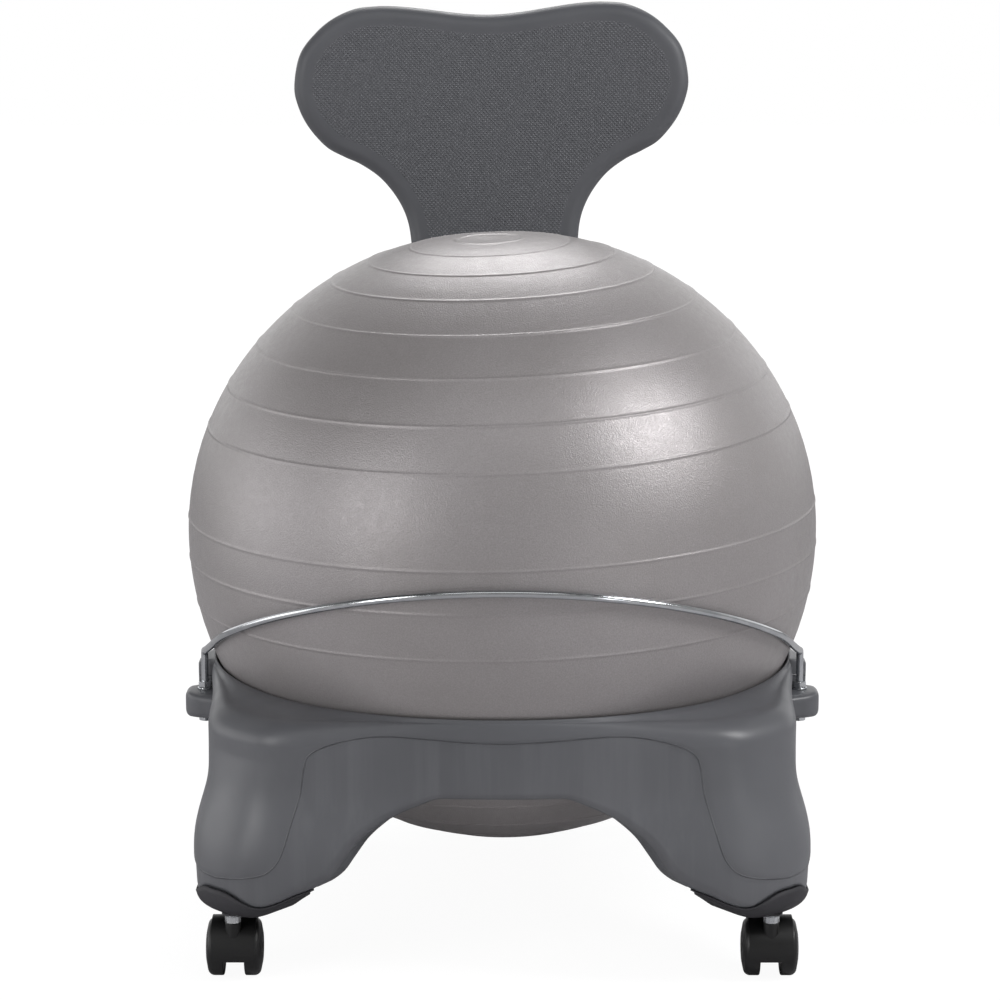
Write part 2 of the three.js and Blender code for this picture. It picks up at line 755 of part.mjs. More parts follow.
// Front and back sheets over the outline, which meet in a round edge.
function makeBackrest() {
  const outline = backOutline();
  const right = outline.getPoints(backOutlineSteps);
  const top = [];
  for (let i = 1; i < backOutlineSteps; i++) {
    const x = mix(padPeakX, -padPeakX, i / backOutlineSteps);
    top.push(new THREE.Vector2(x, dippedZ(x, padTopZ)));
  }
  const left = right.map((p) => new THREE.Vector2(-p.x, p.y)).reverse();
  const line = [...right, ...top, ...left];
  const rowShares = [...stemRowShares];
  for (let i = 1; i <= backRows; i++) {
    rowShares.push(mix(stemRowShares.at(-1), 1, i / backRows));
  }
  const sheet = (facing) =>
    rowShares.map((share, i) => {
      const end = outline.getPoint(share);
      const row = [];
      for (let j = 0; j <= backColumns; j++) {
        const x = end.x * Math.sin(mix(-quarterTurn, quarterTurn, j / backColumns));
        const z = dippedZ(x, end.y);
        const onEdge = j % backColumns === 0 || i === 0 || i === rowShares.length - 1;
        const depth = onEdge ? 0 : Math.min(1, distanceToLine(new THREE.Vector2(x, z), line) / backEdgeRound);
        const half = (backThickness / 2) * Math.sqrt(1 - (1 - depth) ** 2);
        row.push(new THREE.Vector3(x, backMiddleY(z, x) + facing * half, z));
      }
      return row;
    });
  return twoSheets(sheet(-1), sheet(1));
}

// Two sheets of points that share their border, joined into one closed surface.
function twoSheets(front, back) {
  const width = front[0].length;
  const positions = [...front.flat(), ...back.flat()].flatMap((p) => [p.x, p.y, p.z]);
  const offset = front.length * width;
  const faces = [];
  for (let i = 0; i < front.length - 1; i++) {
    for (let j = 0; j < width - 1; j++) {
      const a = i * width + j;
      const b = a + width;
      faces.push(a, a + 1, b + 1, a, b + 1, b);
      faces.push(offset + a, offset + b + 1, offset + a + 1, offset + a, offset + b, offset + b + 1);
    }
  }
  const geometry = new THREE.BufferGeometry();
  geometry.setAttribute("position", new THREE.Float32BufferAttribute(positions, 3));
  geometry.setIndex(faces);
  return geometry;
}

// The bore in the stem that a threaded insert sits in.
function insertBore(sign) {
  const bore = rod(insertRadius + seatGap, 0, backThickness, ringSides);
  bore.rotateX(-quarterTurn).translate(sign * boltX, insertFrontY() - seatGap, boltZ);
  return solidOf(bore);
}

// The front end of an insert, whose rear end is flush with the back of the stem.
function insertFrontY() {
  return backMiddleY(stemLowZ) + backThickness / 2 - insertLength;
}

function makeBackrestShell() {
  const shell = solidOf(makeBackrest());
  return Object.values(sides).reduce((made, sign) => made.subtract(insertBore(sign)), shell);
}

// Casters, each about its stem's foot on the floor, with the wheels behind the stem

// The hood's side view between two angles, from a radius to another.
function hoodSector(innerRadius, outerRadius) {
  const shape = new THREE.Shape();
  const at = (radius, share) => {
    const angle = 2 * quarterTurn - mix(hoodFrontAngle, hoodRearAngle, share);
    return [radius * Math.cos(angle), radius * Math.sin(angle)];
  };
  shape.moveTo(...at(outerRadius, 0));
  for (let i = 1; i <= hoodSteps; i++) shape.lineTo(...at(outerRadius, i / hoodSteps));
  if (innerRadius) {
    for (let i = hoodSteps; i >= 0; i--) shape.lineTo(...at(innerRadius, i / hoodSteps));
  } else {
    shape.lineTo(hoodHubRadius, 0);
    shape.lineTo(hoodHubRadius / 2, -hoodHubRadius);
    shape.lineTo(-hoodHubRadius / 2, -hoodHubRadius);
  }
  return shape;
}

// A side view in Y and Z, made as thick as the two half widths, about the axle.
function acrossAxle(shape, halfWidth) {
  const slab = new THREE.ExtrudeGeometry(shape, { depth: 2 * halfWidth, bevelEnabled: false });
  slab.translate(0, 0, -halfWidth).rotateX(quarterTurn).rotateZ(quarterTurn);
  return slab.translate(0, casterTrail, wheelRadius);
}

function makeHood() {
  const fender = solidOf(acrossAxle(hoodSector(hoodInnerRadius, hoodOuterRadius), hoodHalfWidth));
  const webRadius = (hoodInnerRadius + hoodOuterRadius) / 2;
  const web = solidOf(acrossAxle(hoodSector(0, webRadius), hoodWebHalfWidth));
  const boss = solidOf(rod(bossRadius, bossLowZ, bossTopZ, ringSides));
  const pinBore = rod(stemPinRadius + turningGap, stemPinLowZ - seatGap, bossTopZ + cutOverrun, ringSides);
  const axleBore = alongX(rod(axleRadius + seatGap, -hoodHalfWidth, hoodHalfWidth, wheelSides));
  return fender.add(web).add(boss).subtract(solidOf(pinBore)).subtract(solidOf(axleBore));
}

// A turned piece laid along X on the axle's line.
function alongX(geometry) {
  return geometry.rotateY(quarterTurn).translate(0, casterTrail, wheelRadius);
}

// A wheel whose flats touch the floor, domed on its outer face.
function makeWheel(sign) {
  const round = 1 / Math.cos(Math.PI / wheelSides);
  const profile = [
    [axleRadius + turningGap, wheelInnerX],
    [wheelRadius * round, wheelInnerX],
    [wheelRadius * round, wheelTreadEndX],
    [wheelShoulderRadius * round, wheelShoulderX],
    [wheelHubRadius, wheelOuterX],
    [wheelHubRadius - wheelHubDish, wheelOuterX - wheelHubDish],
    [0, wheelOuterX - wheelHubDish],
    [0, axleBoreDepth],
    [axleRadius + turningGap, axleBoreDepth],
    [axleRadius + turningGap, wheelInnerX],
  ];
  return solidOf(alongX(turned(profile, wheelSides).scale(1, 1, sign)));
}

function makeAxle() {
  return solidOf(alongX(rod(axleRadius, -axleHalfLength, axleHalfLength, plugSides)));
}

// The steel stem: the hood turns on its pin, and its upper end is pushed into the sleeve.
function makeCasterStem() {
  const collarTopZ = bossTopZ + seatGap + stemCollarHeight;
  const groove = stemRadius - gripGrooveDepth;
  const profile = [
    [0, stemPinLowZ],
    [stemPinRadius, stemPinLowZ],
    [stemPinRadius, bossTopZ + seatGap],
    [stemCollarRadius, bossTopZ + seatGap],
    [stemCollarRadius, collarTopZ],
    [stemRadius, collarTopZ],
    [stemRadius, gripGrooveZ],
    [groove, gripGrooveZ],
    [groove, gripGrooveZ + gripGrooveHeight],
    [stemRadius, gripGrooveZ + gripGrooveHeight],
    [stemRadius, stemTopZ - stemTipChamfer],
    [stemRadius - stemTipChamfer, stemTopZ],
    [0, stemTopZ],
  ];
  return solidOf(turned(profile, ringSides));
}

// The split spring ring in the stem's groove.
function makeGripRing() {
  const bore = stemRadius - gripGrooveDepth + seatGap;
  const shape = new THREE.Shape();
  const start = gripRingGap / 2;
  const end = 4 * quarterTurn - start;
  shape.absarc(0, 0, gripRingRadius, start, end, false);
  shape.absarc(0, 0, bore, end, start, true);
  const height = gripGrooveHeight - 2 * seatGap;
  const ring = new THREE.ExtrudeGeometry(shape, { depth: height, bevelEnabled: false, curveSegments: ringSides / 2 });
  return solidOf(ring.translate(0, 0, gripGrooveZ + seatGap));
}

// The sleeve that is pushed into the leg, with a flange under the foot cap.
function makeSleeve() {
  const bore = stemRadius + seatGap;
  const flangeTopZ = legLowZ - seatGap;
  const profile = [
    [bore, flangeTopZ - sleeveFlangeThickness],
    [sleeveFlangeRadius, flangeTopZ - sleeveFlangeThickness],
    [sleeveFlangeRadius, flangeTopZ],
    [sleeveRadius, flangeTopZ],
    [sleeveRadius, sleeveTopZ],
    [0, sleeveTopZ],
    [0, stemTopZ + seatGap],
    [bore, stemTopZ + seatGap],
    [bore, flangeTopZ - sleeveFlangeThickness],
  ];
  return solidOf(turned(profile, ringSides));
}

// Finishes

const finishes = {
  ball: { color: 0x8c8886, roughness: 0.42, metalness: 0.25 },
  base: { color: 0x5b5d61, roughness: 0.5, metalness: 0 },
  backrest: { color: 0x54565a, roughness: 0.55, metalness: 0 },
  cap: { color: 0x3a393c, roughness: 0.7, metalness: 0 },
  caster: { color: 0x232424, roughness: 0.45, metalness: 0 },
  steel: { color: 0xc9ced1, roughness: 0.25, metalness: 1 },
  plug: { color: 0xb9b6b2, roughness: 0.5, metalness: 0 },
};

const chair = new THREE.Group();

// Adds a piece as a named mesh to a group of the chair.
function addPiece(name, solid, finish, group = chair) {
  const geometry = solid.isBufferGeometry ? geometryOf(solidOf(solid)) : geometryOf(solid);
  const mesh = new THREE.Mesh(geometry, new THREE.MeshStandardMaterial(finishes[finish]));
  mesh.name = name;
  group.add(mesh);
}

// Assembly

function addBase() {
  const body = makeBaseBody();
  addPiece("base_shell", makeBaseShell(body), "base");
  for (const [name, [signX, signY]] of Object.entries(corners)) {
    addPiece(`foot_cap_${name}`, makeFootCap(body, signX, signY), "cap");
  }
}

function addCasters() {
  for (const [name, [signX, signY]] of Object.entries(corners)) {
    const caster = new THREE.Group();
    caster.position.set(signX * casterX, signY * casterY, 0);
    chair.add(caster);
    addPiece(`caster_sleeve_${name}`, makeSleeve(), "cap", caster);
    addPiece(`caster_stem_${name}`, makeCasterStem(), "steel", caster);
    addPiece(`grip_ring_${name}`, makeGripRing(), "steel", caster);
    addPiece(`caster_hood_${name}`, makeHood(), "caster", caster);
    addPiece(`caster_axle_${name}`, makeAxle(), "steel", caster);
    for (const [side, sign] of Object.entries(sides)) {
      addPiece(`caster_wheel_${name}_${side}`, makeWheel(sign), "caster", caster);
    }
  }
}

function addBall() {
  const ball = new THREE.Group();
  ball.position.z = ballCentreZ;
  ball.rotation.y = -ballLean;
  chair.add(ball);
  addPiece("ball_skin", makeBallSkin(), "ball", ball);
  addPiece("valve_plug", makeValvePlug(), "plug", ball);
}

function addRetainingBar() {
  addPiece("retaining_bar", makeRetainingBar(), "steel");
  const bore = barRadius + seatGap;
  const washerLowZ = earTopZ + seatGap;
  const nutLowZ = washerLowZ + barWasherThickness + seatGap;
  const lowerTopZ = earTopZ - earHeight - seatGap;
  for (const [side, sign] of Object.entries(sides)) {
    const ear = new THREE.Group();
    ear.position.set(sign * barFootX, barFootY, 0);
    chair.add(ear);
    const washer = ringAlongZ(bore, barWasherRadius, washerLowZ, washerLowZ + barWasherThickness, ringSides);
    addPiece(`bar_washer_${side}`, washer, "steel", ear);
    addPiece(`bar_nut_upper_${side}`, hexagon(barNutFlats, bore, nutLowZ, nutLowZ + barNutHeight), "steel", ear);
    addPiece(`bar_nut_lower_${side}`, hexagon(barNutFlats, bore, lowerTopZ - barNutHeight, lowerTopZ), "steel", ear);
  }
}

function addBackrest() {
  const backrest = new THREE.Group();
  backrest.position.z = boltZ;
  backrest.rotation.y = -backRoll;
  chair.add(backrest);
  const shell = makeBackrestShell().translate([0, 0, -boltZ]);
  addPiece("backrest_shell", shell, "backrest", backrest);
  const washerFront = socketRearY + seatGap;
  const headFront = washerFront + boltWasherThickness + seatGap;
  for (const [side, sign] of Object.entries(sides)) {
    const bolt = new THREE.Group();
    bolt.position.x = sign * boltX;
    bolt.rotation.x = -quarterTurn;
    backrest.add(bolt);
    const shank = solidOf(rod(boltRadius, insertFrontY() + seatGap, headFront + seatGap, ringSides));
    const head = hexagon(boltHeadFlats, 0, headFront, headFront + boltHeadHeight);
    addPiece(`backrest_bolt_${side}`, shank.add(head), "steel", bolt);
    const washerRear = washerFront + boltWasherThickness;
    const washer = ringAlongZ(boltRadius + seatGap, boltWasherRadius, washerFront, washerRear, ringSides);
    addPiece(`backrest_washer_${side}`, washer, "steel", bolt);
    const insertRear = insertFrontY() + insertLength;
    const insert = ringAlongZ(boltRadius + seatGap, insertRadius, insertFrontY(), insertRear, ringSides);
    addPiece(`backrest_insert_${side}`, insert, "steel", bolt);
  }
}

addBase();
addCasters();
addBall();
addRetainingBar();
addBackrest();

// The origin is on the floor under the middle of the chair's box.
const box = new THREE.Box3().setFromObject(chair);
chair.position.y = -(box.min.y + box.max.y) / 2;

export default chair;
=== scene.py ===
"""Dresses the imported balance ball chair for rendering: smooth surfaces, materials, floor, light and camera.

Sizes are in millimetres in the formulas and become metres where a mesh is made.
The ball's axis stands at X = 0 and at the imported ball's own Y.
"""

import math

import bpy
import numpy as np
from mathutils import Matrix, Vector


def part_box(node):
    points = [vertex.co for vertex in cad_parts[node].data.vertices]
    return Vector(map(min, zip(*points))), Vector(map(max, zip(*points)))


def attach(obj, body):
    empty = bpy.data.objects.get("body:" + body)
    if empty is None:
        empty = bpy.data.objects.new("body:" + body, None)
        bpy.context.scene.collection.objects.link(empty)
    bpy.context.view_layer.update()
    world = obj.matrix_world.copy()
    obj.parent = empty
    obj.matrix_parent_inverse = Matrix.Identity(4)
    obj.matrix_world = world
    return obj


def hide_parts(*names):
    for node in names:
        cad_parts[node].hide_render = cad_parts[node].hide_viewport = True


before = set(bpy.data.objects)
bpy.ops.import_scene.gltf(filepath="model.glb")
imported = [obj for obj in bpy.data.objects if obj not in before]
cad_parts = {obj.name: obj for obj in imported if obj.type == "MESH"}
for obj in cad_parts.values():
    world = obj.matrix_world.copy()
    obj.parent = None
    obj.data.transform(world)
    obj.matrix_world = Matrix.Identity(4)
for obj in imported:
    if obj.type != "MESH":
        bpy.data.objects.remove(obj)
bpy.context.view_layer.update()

MM = 0.001
QUARTER = math.pi / 2


def node_box(node):
    """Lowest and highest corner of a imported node, in millimetres."""
    low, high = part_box(node)
    return np.array(low) / MM, np.array(high) / MM


BALL_LOW, BALL_HIGH = node_box("ball_skin")
AXIS_Y = (BALL_LOW[1] + BALL_HIGH[1]) / 2

# Fits that every piece shares
SEAT_GAP = 0.3
SEAT_CLEARANCE = 0.45

# Ball
BALL_RADIUS = 275
BALL_TOP_SQUASH = 15
BALL_BOTTOM_SQUASH = 2
BALL_TOP_HEIGHT = BALL_RADIUS - BALL_TOP_SQUASH
BALL_BOTTOM_DEPTH = BALL_RADIUS - BALL_BOTTOM_SQUASH
BALL_FLOOR_GAP = 67
BALL_CENTRE_Z = BALL_FLOOR_GAP + BALL_BOTTOM_DEPTH
BALL_LEAN = 1.73
RIB_LEAN_AT_EQUATOR = 1.35
RIB_LEAN_RISE = 0.015
RIB_PITCH = 0.9
UPPER_RIB_PITCH = 2.1
RIB_HEIGHT = 0.6
RIB_HALF_WIDTH = 1.9
RIB_ROWS = [-1.6, -1.05, -0.62, -0.22, 0.22, 0.62, 1.05, 1.6]
RIB_LATITUDES = np.radians([
    -74.5, -65.6, -57.5, -48.3, -38.5, -29.2, -11.4, -3.1,
    4.7, 23, 31.8, 41.1, 50.4, 59.4, 67.2, 75.4, 84,
])
TOP_FLATTENING = 7
FLATTENED_FROM = math.radians(60)
RIBS_LEAN_FROM = -65
RIBS_LEAN_BLEND = 40
UPPER_PITCH_AT = 25
VALVE_RADIUS = 4.6
BALL_COLUMNS = 360
PLAIN_ROWS = 4

# Base: the ring that the ball sits in
RIM_DEPTH = 113
RIM_Z = BALL_CENTRE_Z - RIM_DEPTH
RIM_CORNER_DIP = 1.8
SEAT_CONTACT_DEPTH = 9.5
BOWL_UNDERCUT_DEPTH = 17
BOWL_UNDERCUT = 1.5
LIP_ROUND = 2
LIP_OPENING = 1.2
RING_UNDER_BALL = 19
RING_HALF_WIDTH = BALL_RADIUS - RING_UNDER_BALL
RING_DRAW_IN = 8.4
RING_DRAW_IN_SHARE = 0.55
RAIL_DEPTH = 67
RAIL_LOW_Z = RIM_Z - RAIL_DEPTH
RAIL_DRAFT = 3
RAIL_WIDTH = 34
RAIL_INNER_RADIUS = RING_HALF_WIDTH - RAIL_WIDTH
RAIL_EDGE_ROUND = 7
BOWL_FOOT_RISE = 12
BOWL_FOOT_Z = RAIL_LOW_Z + BOWL_FOOT_RISE

# Base: the deck and the shoulder that rounds it off, along the sides and over the legs
RAIL_DECK_DROP = 1
RAIL_SHOULDER_DROP = 14
CORNER_DECK_DROP = 5.5
CORNER_SHOULDER_RUN = 34
CORNER_SHOULDER_DROP = 19
CORNER_SHOULDER_SHARE = 0.7
WIDEST_SHOULDER = 0.95

# Base: the legs, whose corners are cut by planes that lean outward to the foot
SQUARENESS = 9
LEG_FLARE = 4.5
LEG_HALF_WIDTH = RING_HALF_WIDTH + LEG_FLARE
FLARE_DROP = 49
FLARE_TOP_Z = RIM_Z - FLARE_DROP
FLARE_HEIGHT = 78
LEG_LOW_Z = 60
FOOT_FLARE = 3.6
FOOT_HALF_WIDTH = RING_HALF_WIDTH + FOOT_FLARE
FOOT_BLEND_TOP = 44
FOOT_TOP_Z = LEG_LOW_Z + FOOT_BLEND_TOP
FOOT_HEIGHT = 36
FOOT_FLAT_REACH = 30
FOOT_FLAT_RADIUS = RING_HALF_WIDTH + FOOT_FLAT_REACH
UNDERSIDE_RISE = 30
LEG_WALL_INSET = 6
LEG_INNER_RADIUS = RAIL_INNER_RADIUS + LEG_WALL_INSET
LEG_EDGE_ROUND = 13
INNER_EDGE_ROUND = 6
CORNER_PLANE_REACH = 56
CORNER_PLANE_LEAN = 30
CORNER_PLANE_TOP = RING_HALF_WIDTH + CORNER_PLANE_REACH
CORNER_PLANE_FOOT = CORNER_PLANE_TOP + CORNER_PLANE_LEAN
CORNER_PLANE_DROP = 37
CORNER_PLANE_HEIGHT = 100
CORNER_PLANE_EASE = 0.3
CORNER_BLEND = 45
ARCH_SHARES = [
    (0, 1), (0.2, 1), (0.3, 0.92), (0.378, 0.83), (0.438, 0.73), (0.488, 0.62), (0.527, 0.475),
    (0.557, 0.36), (0.597, 0.285), (0.655, 0.21), (0.73, 0.11), (0.79, 0.03), (0.85, 0), (1, 0),
]
# Where the sections stand closer together: share, spread and strength
CLOSER_SECTIONS = [(0.1, 0.09, 1.6), (0.5, 0.12, 1.1), (0.93, 0.1, 0.8)]
HALF_SIDE_COLUMNS = 80
SEAT_POINTS = 4
LIP_POINTS = 5
DECK_POINTS = 14
SHOULDER_POINTS = 16
WALL_POINTS = 100
EDGE_POINTS = 41
UNDERSIDE_STEPS = (3, 9, 2, 5, 6)

# Foot caps and the step in the leg that takes them: distance from the side's middle, height over the foot
CAP_INNER = (160, LEG_LOW_Z + 24)
CAP_DIP = (201, LEG_LOW_Z + 10.5)
CAP_CREST = (232, LEG_LOW_Z + 22)
CAP_STEP = 1.6
CAP_THICKNESS = 1.2
UPPER_WALL_POINTS = 46
LOWER_WALL_POINTS = 12
CAP_WALL_POINTS = 14
CAP_UNDER_POINTS = 9
CAP_LEAST_POINTS = 8
CAP_POINT_GAP = 0.2
CAP_INNER_EASE = 4
# Below the cap line, in steps between the wall's own points: where the step ends and where the cap starts
STEP_END = 0.5
CAP_START = 0.35

# The line where the mould's halves met, on each side of the base: distance from the middle, and height
PARTING_POINTS = [
    (262, 86), (240, 91), (210, 95.5), (193, 101), (182, 114), (174.6, 136), (166, 163), (161.8, 189),
    (157, 198.5), (143, 205.7), (120, 211.5), (94, 214), (60, 212.5), (30, 210.5), (0, 209.5),
]
PARTING_CORNER = 8
PARTING_STEPS = 90
PARTING_OVERLAP = 4
NO_LINE = 100
SIDE_PANEL_INSET = 20
SIDE_PANEL_BLEND = 50
PANEL_RECESS = 1.6
PANEL_BLEND = 5
PANEL_FROM_POINTS = 8

# Ears and the bar
EAR_REACH = 21
EAR_TIP_X = RING_HALF_WIDTH + EAR_REACH
EAR_ROOT_DEPTH = 20
EAR_ROOT_X = RING_HALF_WIDTH - EAR_ROOT_DEPTH
EAR_DROP = 25
EAR_TOP_Z = RIM_Z - EAR_DROP
EAR_HEIGHT = 22.5
EAR_TIP_HALF_WIDTH = 20
EAR_ROOT_HALF_WIDTH = 38
EAR_FLARE_POWER = 1.6
EAR_CORNER_RADIUS = 15
EAR_EDGE_ROUND = 5
EAR_SQUARENESS = 5
EAR_SIDES = 96
BAR_RADIUS = 3.175
BAR_FOOT_REACH = 4.3
BAR_FOOT_X = RING_HALF_WIDTH + BAR_FOOT_REACH
BAR_FOOT_Y = -40
BAR_BALL_GAP = 2.2
BAR_BEND_RISE = 9.5
BAR_BEND_Z = RIM_Z + BAR_BEND_RISE
BAR_FRONT_Z = BALL_CENTRE_Z
BAR_RISE_POWER = 1.2
BAR_FLARE_SHARE = 0.3
BAR_BEND_RADIUS = 5
BAR_END_BELOW_EAR = 6.2
BAR_SIDES = 32
BAR_ARC_POINTS = 220
BAR_BEND_POINTS = 12
HOLLOW_RADIUS = 9.5
HOLLOW_FROM_X = RING_HALF_WIDTH - 14
SWELL_REACH = 11.5
SWELL_X = RING_HALF_WIDTH + SWELL_REACH
SWELL_SHARE = 0.95
SWELL_FROM_X = RING_HALF_WIDTH - 9
SWELL_BELOW_EAR_TOP = 10
SWELL_LOW_EASE = 14
SWELL_TOP_EASE = 6
SWELL_START = 2
SWELL_EASE = 10
SWELL_LENGTH = 70
SWELL_FADE = 45
NUT_FLATS = 11
NUT_HEIGHT = 5.4
WASHER_RADIUS = 6.6
WASHER_THICKNESS = 1.2
BROKEN_EDGE = 0.25
NUT_SIDES = 72
NUT_CONE_SHARE = 0.97
WASHER_SIDES = 64

# Backrest
PAD_HALF_WIDTH = 187
PAD_TOP_RISE = 182
PAD_TOP_Z = BALL_CENTRE_Z + BALL_TOP_HEIGHT + PAD_TOP_RISE
PAD_PEAK_X = 105
PAD_DIP = 10.5
PAD_DIP_HEIGHT = 142
PAD_DIP_START_Z = PAD_TOP_Z - PAD_DIP_HEIGHT
BACK_ROLL = math.radians(1.2)
BACK_THICKNESS = 24
BACK_EDGE_ROUND = BACK_THICKNESS / 2
BACK_BALL_GAP = 5
BACK_FRONT_Y = BALL_RADIUS + BACK_BALL_GAP
BACK_MIDDLE_Y = BACK_FRONT_Y + BACK_THICKNESS / 2
BACK_LEAN = 26
WING_FORWARD = 16
WING_HEIGHT = 192
WING_START_Z = PAD_TOP_Z - WING_HEIGHT
WING_BLEND_HEIGHT = 110
STEM_HALF_WIDTH = 70
STEM_DEPTH = 45
STEM_LOW_Z = RIM_Z - STEM_DEPTH
BACK_OUTLINE_SHARES = [
    (0.374, 0.31), (0.38, 0.42), (0.4, 0.56), (0.418, 0.66), (0.427, 0.712), (0.447, 0.742), (0.497, 0.768),
    (0.577, 0.792), (0.674, 0.809), (0.76, 0.819), (0.85, 0.832), (0.936, 0.857), (0.985, 0.883),
    (1, 0.908), (0.968, 0.944), (0.888, 0.969), (0.794, 0.9865), (0.68, 0.9975),
]
BACK_ROWS = 200
BACK_COLUMNS = 140
BACK_CLOSE_SHARE = 0.03
DOT_PITCH = 3.8
DOT_BORDER = 17
DOTS_ABOVE_SOCKET = 40
DOT_FADE = 2

# Socket and the bolts in its rear wall
SOCKET_SIDE = 22
SOCKET_WALL = 16
SOCKET_REACH = 34
SOCKET_RISE = 9
SOCKET_FOOT_RISE = 3
SOCKET_HALF_WIDTH = STEM_HALF_WIDTH + SOCKET_SIDE
SOCKET_REAR_Y = BACK_FRONT_Y + BACK_THICKNESS + SOCKET_WALL
SOCKET_FRONT_Y = BACK_FRONT_Y - SOCKET_REACH
SOCKET_TOP_Z = RIM_Z + SOCKET_RISE
SOCKET_LOW_Z = RAIL_LOW_Z + SOCKET_FOOT_RISE
SOCKET_CORNER_RADIUS = 16
SOCKET_EDGE_ROUND = 5
POCKET_DEPTH = 40
POCKET_GAP = 1
POCKET_CORNER_RADIUS = 12
MOUTH_GAP = 3
MOUTH_DEPTH = 2
BOLT_DROP = 30
BOLT_X = 44
BOLT_Z = SOCKET_TOP_Z - BOLT_DROP
BOLT_HEAD_FLATS = 13
BOLT_HEAD_HEIGHT = 5.3
BOLT_BORE = 4.3
BOLT_WASHER_RADIUS = 9
BOLT_WASHER_THICKNESS = 1.6

# Casters
CASTER_X = 223
CASTER_SIDE_EXTRA = 6
CASTER_Y = CASTER_X + CASTER_SIDE_EXTRA
CASTER_TRAIL = 16
WHEEL_RADIUS = 24
WHEEL_INNER_X = 8.8
WHEEL_TREAD_X = 18.4
WHEEL_FACE_X = 22.3
WHEEL_RIM_RADIUS = 12.4
WHEEL_HUB_RADIUS = 3.4
WHEEL_HUB_DIMPLE = 0.6
AXLE_BORE = 2.4
AXLE_END_X = 17
WHEEL_SIDES = 96
HOOD_HALF_WIDTH = WHEEL_TREAD_X
HOOD_INNER_RADIUS = WHEEL_RADIUS + 1
HOOD_THICKNESS = 1.6
HOOD_OUTER_RADIUS = HOOD_INNER_RADIUS + HOOD_THICKNESS
HOOD_CORNER = 4
HOOD_EDGE_FROM = 0.94
HOOD_WEB_HALF_WIDTH = 8.2
HOOD_WEB_FOOT = [(9, 0), (7.8, -4.5), (4.5, -7.8), (0, -9), (-4.5, -7.8), (-9, -5.5)]
HOOD_FRONT = math.radians(-12)
HOOD_REAR = math.radians(152)
BOSS_RADIUS = 6.5
BOSS_BORE = 4.2
BOSS_SIDES = 64
BOSS_TOP_Z = WHEEL_RADIUS + HOOD_OUTER_RADIUS
BOSS_LOW_Z = WHEEL_RADIUS + 1

# Depth of the mouldings' grain, in metres
PLASTIC_GRAIN = 0.00012

# Studio, in metres, and the camera's lens and sensor in millimetres
CAMERA_AT = (0, -2.8571, 0.9063)
CAMERA_LOOKS_ALONG = (-0.000701, 0.98208, -0.18847)
CAMERA_LENS = 118.15
CAMERA_SENSOR = 36
CAMERA_SEES_TO = 60
FLOOR_REACH = 9
FLOOR_GLOW = 1.05
FLOOR_WHITER_FROM = 0.6
FLOOR_WHITE_FROM = 1.2
WORLD_LIGHT = 0.36

CORNERS = {
    "front_left": (-1, -1),
    "front_right": (1, -1),
    "rear_left": (-1, 1),
    "rear_right": (1, 1),
}
SIDES = {"left": -1, "right": 1}


# Helper formulas


def mix(a, b, share):
    """a at share 0, b at share 1."""
    return a + (b - a) * share


def smooth(share):
    """Eases from 0 to 1: s squared times (3 - 2 s)."""
    s = np.clip(share, 0, 1)
    return s * s * (3 - 2 * s)


def smoother(share):
    """Eases from 0 to 1 with no sudden bend at its ends: s cubed times (10 - 15 s + 6 s squared)."""
    s = np.clip(share, 0, 1)
    return s**3 * (10 - 15 * s + 6 * s * s)


def around(count):
    """Evenly spaced angles, once all round."""
    return 2 * math.pi * np.arange(count) / count


def spun(a, b, angle):
    """Two coordinates turned by an angle about the third: a cos - b sin, and a sin + b cos."""
    cos = np.cos(angle)
    sin = np.sin(angle)
    return a * cos - b * sin, a * sin + b * cos


def curve_through(pairs, x):
    """A cubic curve through (x, value) pairs whose slopes are the harmonic means of their neighbours."""
    xs, values = np.array(pairs, float).T
    slopes = np.diff(values) / np.diff(xs)
    before = np.concatenate([slopes[:1], slopes])
    after = np.concatenate([slopes, slopes[-1:]])
    flat = before * after <= 0
    tangents = np.where(flat, 0, 2 * before * after / np.where(flat, 1, before + after))
    i = np.clip(np.searchsorted(xs, x) - 1, 0, len(xs) - 2)
    width = xs[i + 1] - xs[i]
    s = np.clip((x - xs[i]) / width, 0, 1)
    start = s * (1 - s) ** 2 * width * tangents[i]
    end = s**2 * (s - 1) * width * tangents[i + 1]
    return mix(values[i], values[i + 1], smooth(s)) + start + end


def through_points(points, t):
    """A Catmull-Rom curve through points, at t from 0 to 1: cubics, each of its four nearest points."""
    points = np.array(points, float)
    position = t * (len(points) - 1)
    i = np.clip(position.astype(int), 0, len(points) - 2)
    s = (position - i)[:, None]
    p0 = points[np.maximum(i - 1, 0)]
    p1 = points[i]
    p2 = points[i + 1]
    p3 = points[np.minimum(i + 2, len(points) - 1)]
    v1 = (p2 - p0) / 2
    v2 = (p3 - p1) / 2
    return (2 * p1 - 2 * p2 + v1 + v2) * s**3 + (3 * p2 - 3 * p1 - 2 * v1 - v2) * s**2 + v1 * s + p1


def distance_to_line(points, line):
    """Least distance from each point to the straight stretches between the line's points, in the plane."""
    least = np.full(len(points), np.inf)
    for a, b in zip(line[:-1], line[1:]):
        run = b - a
        along = np.clip((points - a) @ run / (run @ run), 0, 1)
        gap = points - a - along[:, None] * run
        least = np.minimum(least, np.hypot(gap[:, 0], gap[:, 1]))
    return least


